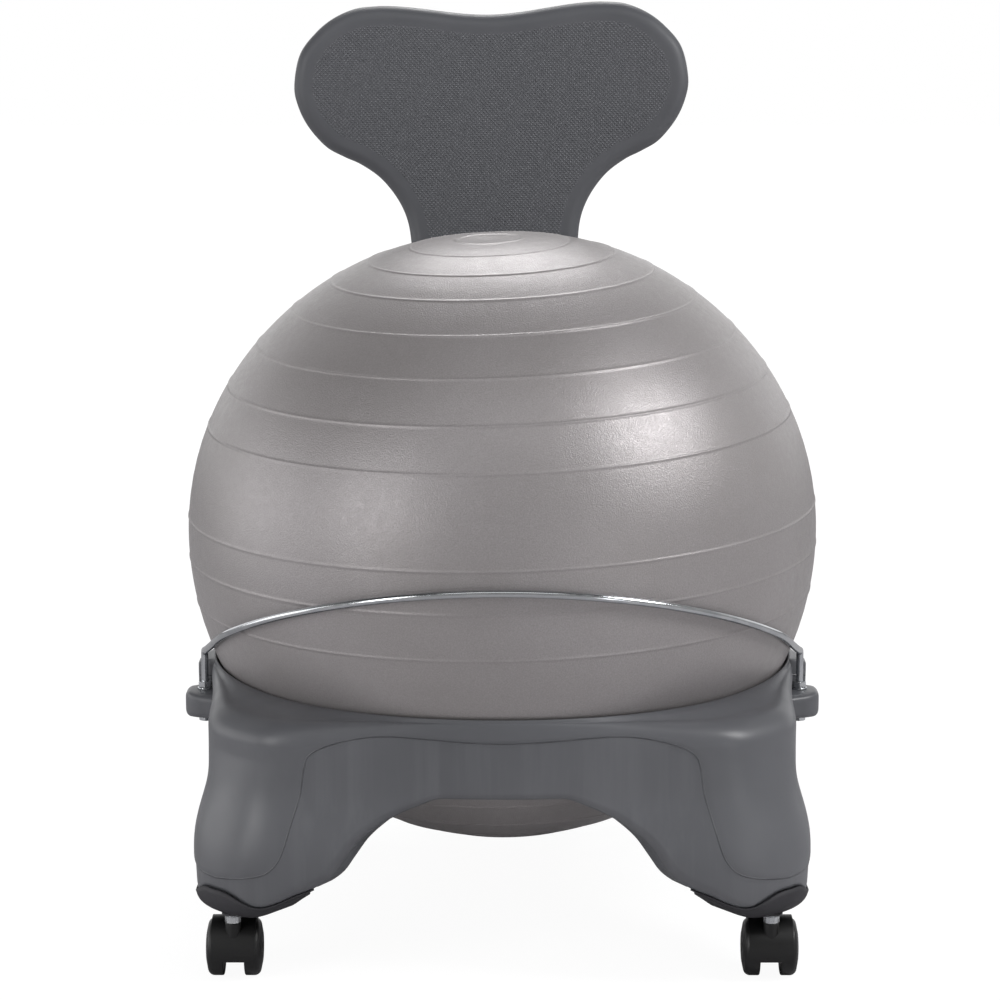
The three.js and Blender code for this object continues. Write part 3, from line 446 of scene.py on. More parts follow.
def rounded(corners, radius, steps=5):
    """A closed line in the plane with each corner cut back by the radius and rounded: a quadratic curve."""
    corners = np.array(corners, float)
    before = np.roll(corners, 1, axis=0) - corners
    after = np.roll(corners, -1, axis=0) - corners
    length_before = np.linalg.norm(before, axis=1, keepdims=True)
    length_after = np.linalg.norm(after, axis=1, keepdims=True)
    radius = np.broadcast_to(np.array(radius, float).reshape(-1, 1), (len(corners), 1))
    cut = np.minimum(radius, 0.48 * np.minimum(length_before, length_after))
    start = corners + before / length_before * cut
    end = corners + after / length_after * cut
    t = np.linspace(0, 1, steps)[None, :, None]
    curve = (1 - t) ** 2 * start[:, None] + 2 * t * (1 - t) * corners[:, None] + t**2 * end[:, None]
    return curve.reshape(-1, 2)


# Meshes


def quads(rows, columns, closed_rows, closed_columns):
    """The corner numbers of the faces between neighbouring points of a grid."""
    i = np.arange(rows if closed_rows else rows - 1)
    j = np.arange(columns if closed_columns else columns - 1)
    i, j = np.meshgrid(i, j, indexing="ij")
    below = (i + 1) % rows
    beside = (j + 1) % columns
    corners = [i * columns + j, i * columns + beside, below * columns + beside, below * columns + j]
    return np.stack(corners, -1).reshape(-1, 4)


def lofted(rings, endless=False):
    """Points and faces of a surface through closed rings; open ends close in a fan about their middles."""
    rows, columns = rings.shape[:2]
    points = rings.reshape(-1, 3)
    faces = [quads(rows, columns, endless, True)]
    if not endless:
        here = np.arange(columns)
        beside = (here + 1) % columns
        last = (rows - 1) * columns
        middle = np.full(columns, rows * columns)
        points = np.vstack([points, rings[0].mean(0), rings[-1].mean(0)])
        faces.append(np.stack([middle, beside, here], -1))
        faces.append(np.stack([middle + 1, last + here, last + beside], -1))
    return points, faces


def about_z(radius, angle, height):
    """Points about Z: x = r cos a, y = r sin a, z = height."""
    return np.stack(np.broadcast_arrays(radius * np.cos(angle), radius * np.sin(angle), height), -1)


def turned(profile, count):
    """A profile of (radius, height) turned about Z."""
    radius, height = np.array(profile, float).T
    return about_z(radius[:, None], around(count), height[:, None])


def joined(*parts):
    """Several surfaces' points and faces as one."""
    points = []
    faces = []
    offset = 0
    for part_points, part_faces in parts:
        points.append(part_points)
        faces.extend(group + offset for group in part_faces)
        offset += len(part_points)
    return np.vstack(points), faces


def outward(points, faces):
    """Turns the faces over where the volume that they enclose comes out negative."""
    volume = 0
    for group in faces:
        for k in range(1, group.shape[1] - 1):
            first, second, third = (points[group[:, corner]] for corner in (0, k, k + 1))
            volume += np.einsum("ij,ij->", first, np.cross(second, third))
    if volume < 0:
        return [group[:, ::-1] for group in faces]
    return faces


def closed(part):
    """A closed surface with its faces outward."""
    points, faces = part
    return points, outward(points - points.mean(0), faces)


def add_mesh(name, part, sharp=None):
    """A smooth-shaded mesh from points in millimetres, with edges sharp beyond an angle if one is given."""
    points, faces = part
    mesh = bpy.data.meshes.new(name)
    mesh.vertices.add(len(points))
    mesh.vertices.foreach_set("co", (points * MM).astype(np.float32).ravel())
    corners = np.concatenate([group.ravel() for group in faces])
    totals = np.concatenate([np.full(len(group), group.shape[1]) for group in faces])
    mesh.loops.add(len(corners))
    mesh.loops.foreach_set("vertex_index", corners.astype(np.int32))
    mesh.polygons.add(len(totals))
    starts = np.concatenate([[0], np.cumsum(totals)[:-1]])
    mesh.polygons.foreach_set("loop_start", starts.astype(np.int32))
    mesh.polygons.foreach_set("use_smooth", np.ones(len(totals), bool))
    mesh.update(calc_edges=True)
    mesh.validate()
    if sharp:
        mesh.set_sharp_from_angle(angle=math.radians(sharp))
    return mesh


def add_values(mesh, name, values):
    """A number at each point of a mesh, which its material reads by name."""
    attribute = mesh.attributes.new(name, "FLOAT", "POINT")
    attribute.data.foreach_set("value", values.astype(np.float32).ravel())


def place(mesh, body, material, slot, *nodes):
    """Puts a mesh into the scene on a body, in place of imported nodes."""
    piece = bpy.data.objects.new(mesh.name, mesh)
    bpy.context.scene.collection.objects.link(piece)
    mesh.materials.append(material)
    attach(piece, body)
    if nodes:
        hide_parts(*nodes)
    return piece


def about_ball_axis(points):
    """Moves points from the ball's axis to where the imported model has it."""
    return points + np.array([0, AXIS_Y, 0])


# Materials


def paint(red, green, blue):
    """A colour given from 0 to 255 as a screen shows it, in linear values."""
    share = np.array([red, green, blue]) / 255
    linear = np.where(share <= 0.04045, share / 12.92, ((share + 0.055) / 1.055) ** 2.4)
    return (*linear, 1)


class Tree:
    """A node tree, with short calls for the nodes that the finishes and the studio use."""

    def __init__(self, tree):
        self.tree = tree

    def feed(self, target, value):
        """Sets an input to a number, colour or vector, or links it to a socket."""
        if isinstance(value, (int, float, tuple)):
            target.default_value = value
        else:
            self.tree.links.new(value, target)

    def fill(self, node, **inputs):
        """Feeds some of a node's inputs; a space in an input's name is written as a low line."""
        for key, value in inputs.items():
            self.feed(node.inputs[key.replace("_", " ")], value)
        return node

    def node(self, kind, **inputs):
        """A new node with some of its inputs fed."""
        return self.fill(self.tree.nodes.new(f"ShaderNode{kind}"), **inputs)

    def math(self, operation, *values):
        """A math node of one or two values, each a socket or a number."""
        made = self.node("Math")
        made.operation = operation
        for target, value in zip(made.inputs, values):
            self.feed(target, value)
        return made.outputs["Value"]

    def ranged(self, value, from_low, from_high, to_low, to_high, eased=False):
        """A value's place between two limits, laid between two others and held at their ends."""
        limits = {"From_Min": from_low, "From_Max": from_high, "To_Min": to_low, "To_Max": to_high}
        made = self.node("MapRange", Value=value, **limits)
        made.interpolation_type = "SMOOTHSTEP" if eased else "LINEAR"
        return made.outputs["Result"]

    def mixed(self, kind, share, a, b):
        """Value or colour a where the share is 0 and b where it is 1."""
        made = self.node("Mix", Factor=share)
        made.data_type = {"VALUE": "FLOAT", "RGBA": "RGBA"}[kind]
        for key, value in (("A", a), ("B", b)):
            self.feed(next(s for s in made.inputs if s.name == key and s.type == kind), value)
        return next(s for s in made.outputs if s.type == kind)

    def color_mix(self, share, a, b):
        """Colour a where the share is 0 and b where it is 1."""
        return self.mixed("RGBA", share, a, b)

    def split(self, vector):
        """The X, Y and Z of a vector."""
        return self.node("SeparateXYZ", Vector=vector).outputs


class Finish(Tree):
    """A material's node tree: its shader, the object's coordinates, and the textures and bumps on them."""

    def __init__(self, name, color, roughness, metallic=0.0, specular=0.5):
        self.material = bpy.data.materials.new(name)
        self.material.use_nodes = True
        super().__init__(self.material.node_tree)
        self.shader = self.tree.nodes["Principled BSDF"]
        self.fill(self.shader, Base_Color=color, Roughness=roughness, Metallic=metallic)
        self.fill(self.shader, Specular_IOR_Level=specular)
        self.coordinates = self.node("TexCoord").outputs["Object"]

    def mapped(self, scale, turn=(0, 0, 0)):
        """The object's coordinates, turned and stretched."""
        return self.node("Mapping", Vector=self.coordinates, Scale=scale, Rotation=turn).outputs["Vector"]

    def noise(self, scale, detail=2, roughness=0.5, coordinates=None):
        """Soft noise with a number of swells to the metre."""
        at = coordinates or self.coordinates
        made = self.node("TexNoise", Vector=at, Scale=scale, Detail=detail, Roughness=roughness)
        return made.outputs["Fac"]

    def clouds(self, scale, detail, spread, start=0, stop=1):
        """Goes from one number to another as the noise goes through its middle, less and plus a spread."""
        return self.ranged(self.noise(scale, detail), 0.5 - spread, 0.5 + spread, start, stop)

    def attribute(self, name):
        """The numbers that a mesh carries under a name."""
        found = self.node("Attribute")
        found.attribute_name = name
        return found.outputs["Fac"]

    def bumped(self, height, distance, strength=1.0, normal=None):
        """A bump of a depth in metres, laid over another one if that is given."""
        made = self.node("Bump", Height=height, Strength=strength, Distance=distance)
        if normal:
            self.fill(made, Normal=normal)
        return made.outputs["Normal"]

    def finish(self, color, roughness, normal):
        """Links what was made to the shader, and gives the material."""
        self.fill(self.shader, Base_Color=color, Roughness=roughness, Normal=normal)
        return self.material


def moulded(name, dark, light, roughness):
    """Moulded plastic: slow cloudiness in its colour, a fine grain, and patches that shine a little more."""
    made = Finish(name, light, roughness)
    color = made.color_mix(made.clouds(7, 4, 0.15), dark, light)
    gloss = made.clouds(22, 3, 0.2, roughness - 0.05, roughness + 0.07)
    normal = made.bumped(made.noise(1100, 3, 0.6), PLASTIC_GRAIN, 0.5)
    return made.finish(color, gloss, normal)


def base_plastic():
    """The base's grey moulding: grain, faint streaks down its flat panels, and the mould's parting line as a
    raised bump with a dark line painted along it as painted shade of a groove.
    """
    made = Finish("base_plastic", paint(85, 86, 90), 0.42)
    color = made.color_mix(made.clouds(5, 4, 0.15), paint(81, 82, 86), paint(89, 90, 94))
    streaks = made.noise(1, 3, 0.6, made.mapped((90, 90, 3)))
    panel = made.attribute("panel")
    streaked = made.math("MULTIPLY", made.ranged(streaks, 0.45, 0.7, 0, 0.25), panel)
    color = made.color_mix(streaked, color, paint(106, 107, 111))
    # Painted shade: the parting line is painted darker, broken up by noise, as shade in a groove would fall.
    line = made.ranged(made.math("ABSOLUTE", made.attribute("line")), 0.0, 0.0009, 1, 0, eased=True)
    broken = made.ranged(made.noise(45, 2), 0.35, 0.6, 0.25, 1)
    color = made.color_mix(made.math("MULTIPLY", line, broken), color, paint(64, 65, 69))
    gloss = made.clouds(26, 3, 0.2, 0.35, 0.47)
    normal = made.bumped(made.noise(1300, 3, 0.6), PLASTIC_GRAIN, 0.5)
    normal = made.bumped(streaks, 0.0002, 0.2, normal)
    normal = made.bumped(line, 0.0005, 1, normal)
    return made.finish(color, gloss, normal)


def ball_vinyl():
    """Satin vinyl with slow cloudiness, a pebbled grain and soft dents."""
    made = Finish("ball_vinyl", paint(150, 146, 147), 0.4, 0.38)
    color = made.color_mix(made.clouds(9, 4, 0.2), paint(148, 144, 144), paint(156, 152, 153))
    grains = made.noise(850, 2, 0.6)
    color = made.color_mix(made.ranged(grains, 0.3, 0.7, 0, 0.45), color, paint(122, 118, 118))
    gloss = made.clouds(160, 2, 0.2, 0.33, 0.43)
    normal = made.bumped(grains, 0.00034, 0.9)
    normal = made.bumped(made.noise(26, 2), 0.0005, 0.2, normal)
    return made.finish(color, gloss, normal)


def back_plastic():
    """The backrest's moulding, with rows of small raised dots on its front inside a plain border; each dot is
    painted lighter as a painted highlight.
    """
    made = Finish("back_plastic", paint(80, 81, 85), 0.5, specular=0.4)
    color = made.color_mix(made.clouds(6, 4, 0.15), paint(77, 78, 82), paint(84, 85, 89))
    pitch = DOT_PITCH * MM / math.sqrt(2)
    grid = made.mapped((1 / pitch,) * 3, (0, QUARTER / 2 - BACK_ROLL, 0))
    cells = made.split(grid)
    squares = []
    for axis in "XZ":
        off_middle = made.math("SUBTRACT", made.math("FRACT", cells[axis]), 0.5)
        squares.append(made.math("MULTIPLY", off_middle, off_middle))
    dots = made.ranged(made.math("SQRT", made.math("ADD", *squares)), 0.1, 0.45, 1, 0, eased=True)
    dots = made.math("MULTIPLY", dots, made.attribute("dotted"))
    # Patchy strength of the painted highlight on the dots.
    dot_highlight_patches = made.clouds(260, 2, 0.15, 0.1, 0.75)
    color = made.color_mix(made.attribute("dotted"), color, paint(83, 84, 88))
    # Painted highlight: the raised dots are painted lighter than the ground around them, as if lit from
    # above.
    color = made.color_mix(made.math("MULTIPLY", dots, dot_highlight_patches), color, paint(122, 123, 127))
    gloss = made.clouds(24, 3, 0.2, 0.42, 0.56)
    normal = made.bumped(made.noise(1200, 3, 0.6), PLASTIC_GRAIN, 0.5)
    normal = made.bumped(dots, 0.0009, 0.9, normal)
    return made.finish(color, gloss, normal)


def plated_steel(name, roughness, brightness):
    """Plated steel, with hardly seen draw marks and a little clouding."""
    light = np.array([216, 218, 220]) * brightness
    dark = np.array([196, 199, 203]) * brightness
    made = Finish(name, paint(*light), roughness, 1.0)
    color = made.color_mix(made.clouds(60, 3, 0.2), paint(*dark), paint(*light))
    gloss = made.clouds(180, 2, 0.2, roughness - 0.04, roughness + 0.08)
    normal = made.bumped(made.noise(900, 2), 0.00004, 0.3)
    return made.finish(color, gloss, normal)


# Ball


def ball_radius_at(z):
    """Radius at a height: both halves are ellipsoids that meet at the equator."""
    offset = z - BALL_CENTRE_Z
    depth = np.where(offset > 0, BALL_TOP_HEIGHT, BALL_BOTTOM_DEPTH)
    return BALL_RADIUS * np.sqrt(np.maximum(0, 1 - (offset / depth) ** 2))


def ball_latitudes():
    """Latitudes of the rows: close together over each rib, and a few on each plain stretch between ribs."""
    foot = RIB_HALF_WIDTH / BALL_RADIUS
    ribs = (RIB_LATITUDES[:, None] + np.array(RIB_ROWS) * foot).ravel()
    ends = np.concatenate([[-math.acos(VALVE_RADIUS / BALL_RADIUS)], ribs, [QUARTER - foot]])
    starts = ends[::len(RIB_ROWS)]
    stops = ends[1::len(RIB_ROWS)]
    between = np.arange(1, PLAIN_ROWS + 1) / (PLAIN_ROWS + 1)
    plain = (starts[:, None] + (stops - starts)[:, None] * between).ravel()
    return np.sort(np.concatenate([ends, plain]))


def ball_surface():
    """The profile's point at a latitude, raised along its normal over each rib by its height, cos squared."""
    latitude = ball_latitudes()
    height = np.where(latitude > 0, BALL_TOP_HEIGHT, BALL_BOTTOM_DEPTH)
    off_rib = np.abs(latitude[:, None] - RIB_LATITUDES).min(1) * BALL_RADIUS / RIB_HALF_WIDTH
    raise_by = RIB_HEIGHT * np.cos(QUARTER * np.minimum(off_rib, 1)) ** 2
    normal = np.stack([np.cos(latitude) / BALL_RADIUS, np.sin(latitude) / height], -1)
    normal /= np.linalg.norm(normal, axis=1, keepdims=True)
    radius = BALL_RADIUS * np.cos(latitude) + raise_by * normal[:, 0]
    z = height * np.sin(latitude) + raise_by * normal[:, 1]
    z -= TOP_FLATTENING * np.maximum(0, (latitude - FLATTENED_FROM) / (QUARTER - FLATTENED_FROM)) ** 2
    return turned(np.stack([radius, z], -1), BALL_COLUMNS)


def ball_turns():
    """Pitch to the front and lean to the left of each row: the valve's below, and the ribs' own above."""
    latitude = np.degrees(ball_latitudes())[:, None]
    above = smooth((latitude - RIBS_LEAN_FROM) / RIBS_LEAN_BLEND)
    pitch = above * mix(RIB_PITCH, UPPER_RIB_PITCH, smooth(latitude / UPPER_PITCH_AT))
    lean = mix(BALL_LEAN, RIB_LEAN_AT_EQUATOR + RIB_LEAN_RISE * latitude, above)
    return np.radians(pitch), np.radians(lean)


def add_ball(materials):
    """The ball's surface, each row pitched about X and then leaned about Y, and raised to its centre."""
    x, y, z = np.moveaxis(ball_surface(), -1, 0)
    pitch, lean = ball_turns()
    y, z = spun(y, z, pitch)
    x, z = spun(x, z, lean)
    leaned = np.stack([x, y, z + BALL_CENTRE_Z], -1)
    mesh = add_mesh("ball_outer", closed(lofted(about_ball_axis(leaned))))
    place(mesh, "ball", materials["ball"], "ball", "ball_skin")


# Base


def lesser_axis(angle):
    """The smaller of |cos| and |sin|, which gives the distance from the side's middle."""
    return np.minimum(np.abs(np.cos(angle)), np.abs(np.sin(angle)))


def outline_radius(angle, share, z):
    """Plan of the base: half width times (|cos| to the p plus |sin| to the p) to the -1/p.

    A plane that leans outward to the foot cuts each corner off; 1/r to the k is the sum of both, as a blend.
    """
    flare = smoother((FLARE_TOP_Z - z) / FLARE_HEIGHT)
    foot = smoother((FOOT_TOP_Z - z) / FOOT_HEIGHT)
    drawn_in = RING_HALF_WIDTH - RING_DRAW_IN * smooth(share / RING_DRAW_IN_SHARE)
    half_width = mix(mix(drawn_in, LEG_HALF_WIDTH, flare), FOOT_HALF_WIDTH, foot)
    across = np.abs(np.cos(angle))
    along = np.abs(np.sin(angle))
    square = half_width * (across**SQUARENESS + along**SQUARENESS) ** (-1 / SQUARENESS)
    down = np.clip((RIM_Z - CORNER_PLANE_DROP - z) / CORNER_PLANE_HEIGHT, 0, 1)
    plane = mix(CORNER_PLANE_TOP, CORNER_PLANE_FOOT, mix(down, smooth(down), CORNER_PLANE_EASE))
    plane = plane * math.sqrt(2) / (across + along)
    return square * (1 + (square / plane) ** CORNER_BLEND) ** (-1 / CORNER_BLEND)


def base_columns():
    """Angle and share of each section all round; share is the tangent of the angle from the side's middle."""
    even = np.linspace(0, 1, 801)
    weight = np.ones_like(even)
    for middle, spread, strength in CLOSER_SECTIONS:
        weight += strength * np.exp(-(((even - middle) / spread) ** 2))
    reached = np.cumsum(weight)
    reached = (reached - reached[0]) / (reached[-1] - reached[0])
    half = np.interp(np.linspace(0, 1, HALF_SIDE_COLUMNS + 1), reached, even)
    share = np.concatenate([half[:-1], half[:0:-1]])
    angle = np.concatenate([np.arctan(half[:-1]), QUARTER - np.arctan(half[:0:-1])])
    angles = np.concatenate([angle + side * QUARTER for side in range(4)])
    return angles[:, None], np.tile(share, 4)[:, None]


def cap_line_z(lateral):
    """Height of a foot cap's edge at a distance from the side's middle: down to a dip, up to the crest."""

    def eased(start, end):
        return mix(start[1], end[1], smooth((lateral - start[0]) / (end[0] - start[0])))

    return np.where(lateral < CAP_DIP[0], eased(CAP_INNER, CAP_DIP), eased(CAP_DIP, CAP_CREST))


def at_index(values, index):
    """Values of each section's line at fractional places along it."""
    low = np.clip(index.astype(int), 0, values.shape[1] - 2)
    share = index - low
    return mix(np.take_along_axis(values, low, 1), np.take_along_axis(values, low + 1, 1), share)


class BaseSections:
    """The base's upright sections as lines of (radius, height), one for each angle."""

    def __init__(self, angle, share):
        self.angle = angle
        self.share = share
        self.leg = 1 - curve_through(ARCH_SHARES, share)
        self.corner = smooth(share)
        self.low_z = mix(RAIL_LOW_Z, LEG_LOW_Z, self.leg)
        self.edge = mix(RAIL_EDGE_ROUND, LEG_EDGE_ROUND, self.leg)
        self.rim_z = RIM_Z - RIM_CORNER_DIP * self.corner
        self.rim_radius = ball_radius_at(self.rim_z) + SEAT_CLEARANCE
        self.deck_z = RIM_Z - mix(RAIL_DECK_DROP, CORNER_DECK_DROP, self.corner)
        to_corner = smooth(share / CORNER_SHOULDER_SHARE)
        self.shoulder_drop = mix(RAIL_SHOULDER_DROP, CORNER_SHOULDER_DROP, to_corner)
        self.wall_top_z = self.deck_z - self.shoulder_drop
        self.find_wall()
        self.find_cap_line()

    def find_wall(self):
        """The wall, and the quarter round under it, as one line of closely spaced points."""
        down = np.linspace(0, 1, WALL_POINTS)
        z = mix(self.wall_top_z, self.low_z + self.edge, down)
        r = outline_radius(self.angle, self.share, z) - RAIL_DRAFT * (1 - self.leg) * down
        turn = np.linspace(0, QUARTER, EDGE_POINTS)[1:]
        self.edge_centre = r[:, -1:] - self.edge
        self.wall_r = np.hstack([r, self.edge_centre + self.edge * np.cos(turn)])
        self.wall_z = np.hstack([z, self.low_z + self.edge * (1 - np.sin(turn))])
        slope_r = np.gradient(self.wall_r, axis=1)
        slope_z = np.gradient(self.wall_z, axis=1)
        length = np.hypot(slope_r, slope_z)
        self.out_r = -slope_z / length
        self.out_z = slope_r / length

    def find_cap_line(self):
        """Where the foot cap's edge crosses each wall, as a place along its points."""
        count = self.wall_z.shape[1]
        foot = outline_radius(self.angle, self.share, LEG_LOW_Z)
        self.lateral = foot * lesser_axis(self.angle)
        line_z = cap_line_z(self.lateral)
        k = np.clip((self.wall_z > line_z).sum(1, keepdims=True), 1, count - 1)
        above = np.take_along_axis(self.wall_z, k - 1, 1)
        below = np.take_along_axis(self.wall_z, k, 1)
        crossing = k - 1 + np.clip((above - line_z) / (above - below), 0, 1)
        self.crossing = np.minimum(crossing, count - CAP_LEAST_POINTS)
        self.last = count - 1
        self.capped = smooth((self.lateral - CAP_INNER[0]) / CAP_INNER_EASE + 0.5)

    def top(self):
        """From the ball's seat over the lip, deck and shoulder to the top of the wall."""
        below = np.linspace(1, 0, SEAT_POINTS)[:-1]
        seat_z = self.rim_z - SEAT_CONTACT_DEPTH * below
        lip = np.linspace(0, QUARTER, LIP_POINTS)
        deck = np.linspace(0, 1, DECK_POINTS)[1:-1]
        turn = np.linspace(0, QUARTER, SHOULDER_POINTS)[:-1]
        wall_top = outline_radius(self.angle, self.share, self.wall_top_z)
        side_run = (RING_HALF_WIDTH - ball_radius_at(RIM_Z) - SEAT_CLEARANCE - LIP_ROUND) / 2
        widest = (wall_top - self.rim_radius - LIP_OPENING - LIP_ROUND) * WIDEST_SHOULDER
        run = widest * (1 - np.exp(-mix(side_run, CORNER_SHOULDER_RUN, self.corner) / widest))
        deck_end = wall_top - run
        r = [
            ball_radius_at(seat_z) + SEAT_CLEARANCE + LIP_OPENING * (1 - below) ** 2,
            self.rim_radius + LIP_OPENING + LIP_ROUND * (1 - np.cos(lip)),
            mix(self.rim_radius + LIP_OPENING + LIP_ROUND, deck_end, deck),
            deck_end + run * np.sin(turn),
        ]
        z = [
            seat_z,
            self.rim_z + LIP_ROUND * np.sin(lip),
            mix(self.rim_z + LIP_ROUND, self.deck_z, smooth(deck**1.15)),
            self.deck_z - self.shoulder_drop * (1 - np.cos(turn)),
        ]
        return np.hstack(r), np.hstack(z)

    def wall(self, index, inset):
        """The wall at places along it, moved in by an inset."""
        r = at_index(self.wall_r, index) - inset * at_index(self.out_r, index)
        z = at_index(self.wall_z, index) - inset * at_index(self.out_z, index)
        return r, z

    def underside(self, raised):
        """From the edge round under the wall to the inner wall and up to the bowl's undercut."""
        inner = mix(RAIL_INNER_RADIUS, LEG_INNER_RADIUS, self.leg)
        rise = UNDERSIDE_RISE * self.leg
        flat_end = mix(inner + INNER_EDGE_ROUND, FOOT_FLAT_RADIUS, self.leg)
        undercut_z = RIM_Z - BOWL_UNDERCUT_DEPTH
        undercut_r = ball_radius_at(undercut_z) + RIB_HEIGHT + BOWL_UNDERCUT
        corners = [
            (self.edge_centre, self.low_z + raised),
            (np.minimum(flat_end, self.edge_centre - SEAT_GAP), self.low_z + raised),
            (inner + INNER_EDGE_ROUND / 2, self.low_z + rise + INNER_EDGE_ROUND / 4 + raised),
            (inner, self.low_z + rise + INNER_EDGE_ROUND + raised),
            (mix(inner, RAIL_INNER_RADIUS, 0.5), mix(self.low_z + rise, BOWL_FOOT_Z, 0.8)),
            (np.full_like(inner, undercut_r), np.full_like(inner, undercut_z)),
        ]
        radii = []
        heights = []
        for (r0, z0), (r1, z1), steps in zip(corners[:-1], corners[1:], UNDERSIDE_STEPS):
            share = np.arange(1, steps + 1) / steps
            radii.append(mix(r0, r1, share))
            heights.append(mix(z0, z1, share))
        return np.hstack(radii), np.hstack(heights)

    def points(self, r, z):
        """Radius and height at each section's angle as points."""
        return about_z(r, self.angle, z)


def line_distance(points):
    """Distance from the parting line on each side of the base, negative on the flat panel inside it."""
    across = np.abs(points[..., 0])
    depth = np.abs(points[..., 1])
    lateral = np.minimum(across, depth) + SIDE_PANEL_INSET * smooth((across - depth) / SIDE_PANEL_BLEND)
    flat = np.stack([lateral.ravel(), points[..., 2].ravel()], -1)
    line = through_points(PARTING_POINTS, np.linspace(0, 1, PARTING_STEPS))
    corner = round(PARTING_CORNER / (len(PARTING_POINTS) - 1) * (PARTING_STEPS - 1))
    away = distance_to_line(flat, line).reshape(lateral.shape)
    rising = line[:corner + PARTING_OVERLAP]
    crossing = line[corner - PARTING_OVERLAP:][::-1]
    limit = np.interp(points[..., 2], rising[:, 1], rising[:, 0])
    roof = np.interp(lateral, crossing[:, 0], crossing[:, 1])
    inside = (lateral < limit) & (points[..., 2] < roof)
    return np.where(inside, -away, away)


def shaped_at_ears(points):
    """Swells the ring behind each leg of the bar, and hollows it round that leg."""
    x = np.abs(points[..., 0])
    y = points[..., 1]
    z = points[..., 2]
    on_side = (x > np.abs(y)) & (x > HOLLOW_FROM_X)
    rising = smooth((z - EAR_TOP_Z + SWELL_BELOW_EAR_TOP) / SWELL_LOW_EASE)
    ending = smooth((RIM_Z + LIP_ROUND / 2 - z) / SWELL_TOP_EASE)
    started = smooth((y - BAR_FOOT_Y - SWELL_START) / SWELL_EASE)
    fading = smooth((BAR_FOOT_Y + SWELL_LENGTH - y) / SWELL_FADE)
    swell = SWELL_SHARE * (rising * ending) * (started * fading) * (x > SWELL_FROM_X)
    x = np.where(on_side, mix(x, SWELL_X, swell), x)
    reach = HOLLOW_RADIUS**2 - (y - BAR_FOOT_Y) ** 2
    wall = BAR_FOOT_X - np.sqrt(np.maximum(reach, 0))
    thin = ball_radius_at(np.full_like(z, RIM_Z)) + SEAT_CLEARANCE + LIP_ROUND
    wall = np.maximum(wall, np.sqrt(np.maximum(thin**2 - y**2, 0)))
    hollow = on_side & (z > EAR_TOP_Z - 1) & (reach > 0) & (x > wall)
    x = np.where(hollow, wall, x)
    return np.stack([np.sign(points[..., 0]) * x, y, z], -1)


def add_base(materials):
    """The base as one endless loft: top, wall above and below the caps' edge, and underside."""
    angle, share = base_columns()
    sections = BaseSections(angle, share)
    top_r, top_z = sections.top()
    upper = sections.crossing * np.linspace(0, 1, UPPER_WALL_POINTS)
    lower = mix(sections.crossing + STEP_END, sections.last, np.linspace(0, 1, LOWER_WALL_POINTS))
    upper_r, upper_z = sections.wall(upper, 0)
    lower_r, lower_z = sections.wall(lower, CAP_STEP * sections.capped)
    under_r, under_z = sections.underside(CAP_STEP * sections.capped)
    r = np.hstack([top_r, upper_r, lower_r])
    z = np.hstack([top_z, upper_z, lower_z])
    away = line_distance(sections.points(r, z))
    panel = smooth(0.5 - away / PANEL_BLEND)
    on_wall = np.arange(r.shape[1]) >= top_r.shape[1] - PANEL_FROM_POINTS
    r = r - PANEL_RECESS * panel * on_wall
    points = shaped_at_ears(sections.points(np.hstack([r, under_r]), np.hstack([z, under_z])))
    rest = np.zeros_like(under_r)
    mesh = add_mesh("base_moulding", closed(lofted(about_ball_axis(points), endless=True)))
    add_values(mesh, "line", np.hstack([away, rest + NO_LINE]) * MM)
    add_values(mesh, "panel", np.hstack([panel, rest]))
    place(mesh, "base", materials["base"], "base", "base_shell")
    for side, sign in SIDES.items():
        add_ear(side, sign, materials)
    add_socket(materials)
    for name, (sign_x, sign_y) in CORNERS.items():
        add_foot_cap(name, sign_x, sign_y, sections, materials)


def add_foot_cap(name, sign_x, sign_y, sections, materials):
    """The sections' lower ends at one corner as a thin shell, from the wavy edge to the sloping underside."""
    on_side = np.cos(sections.angle[:, 0]) * sign_x > 0
    at_end = np.sin(sections.angle[:, 0]) * sign_y > 0
    chosen = on_side & at_end & (sections.lateral[:, 0] > CAP_INNER[0])
    index = mix(sections.crossing + CAP_START, sections.last, np.linspace(0, 1, CAP_WALL_POINTS))
    wall_r, wall_z = sections.wall(index, 0)
    under_r, under_z = sections.underside(0)
    angle = sections.angle[chosen]
    inner_limit = CAP_INNER[0] / lesser_axis(angle)
    under_r = under_r[chosen, :CAP_UNDER_POINTS]
    under_r = np.maximum(under_r, inner_limit - CAP_POINT_GAP * np.arange(1, CAP_UNDER_POINTS + 1))
    r = np.hstack([wall_r[chosen], np.minimum(under_r, wall_r[chosen, -1:] - CAP_POINT_GAP / 2)])
    z = np.hstack([wall_z[chosen], under_z[chosen, :CAP_UNDER_POINTS]])
    points = about_z(r, angle, z)
    rows, columns = r.shape
    faces = quads(rows, columns, False, False)[:, ::-1]
    mesh = add_mesh(f"foot_cap_shell_{name}", (about_ball_axis(points.reshape(-1, 3)), [faces]))
    piece = place(mesh, "base", materials["cap"], "cap", f"foot_cap_{name}")
    shell = piece.modifiers.new("thickness", "SOLIDIFY")
    shell.thickness = CAP_THICKNESS * MM
    shell.offset = -1


def add_to_base(name, rings, materials, sharp=None):
    """A surface that belongs to the base's moulding and carries no parting line."""
    mesh = add_mesh(name, closed(lofted(about_ball_axis(rings))), sharp)
    add_values(mesh, "line", np.full(len(mesh.vertices), NO_LINE * MM))
    place(mesh, "base", materials["base"], "base")


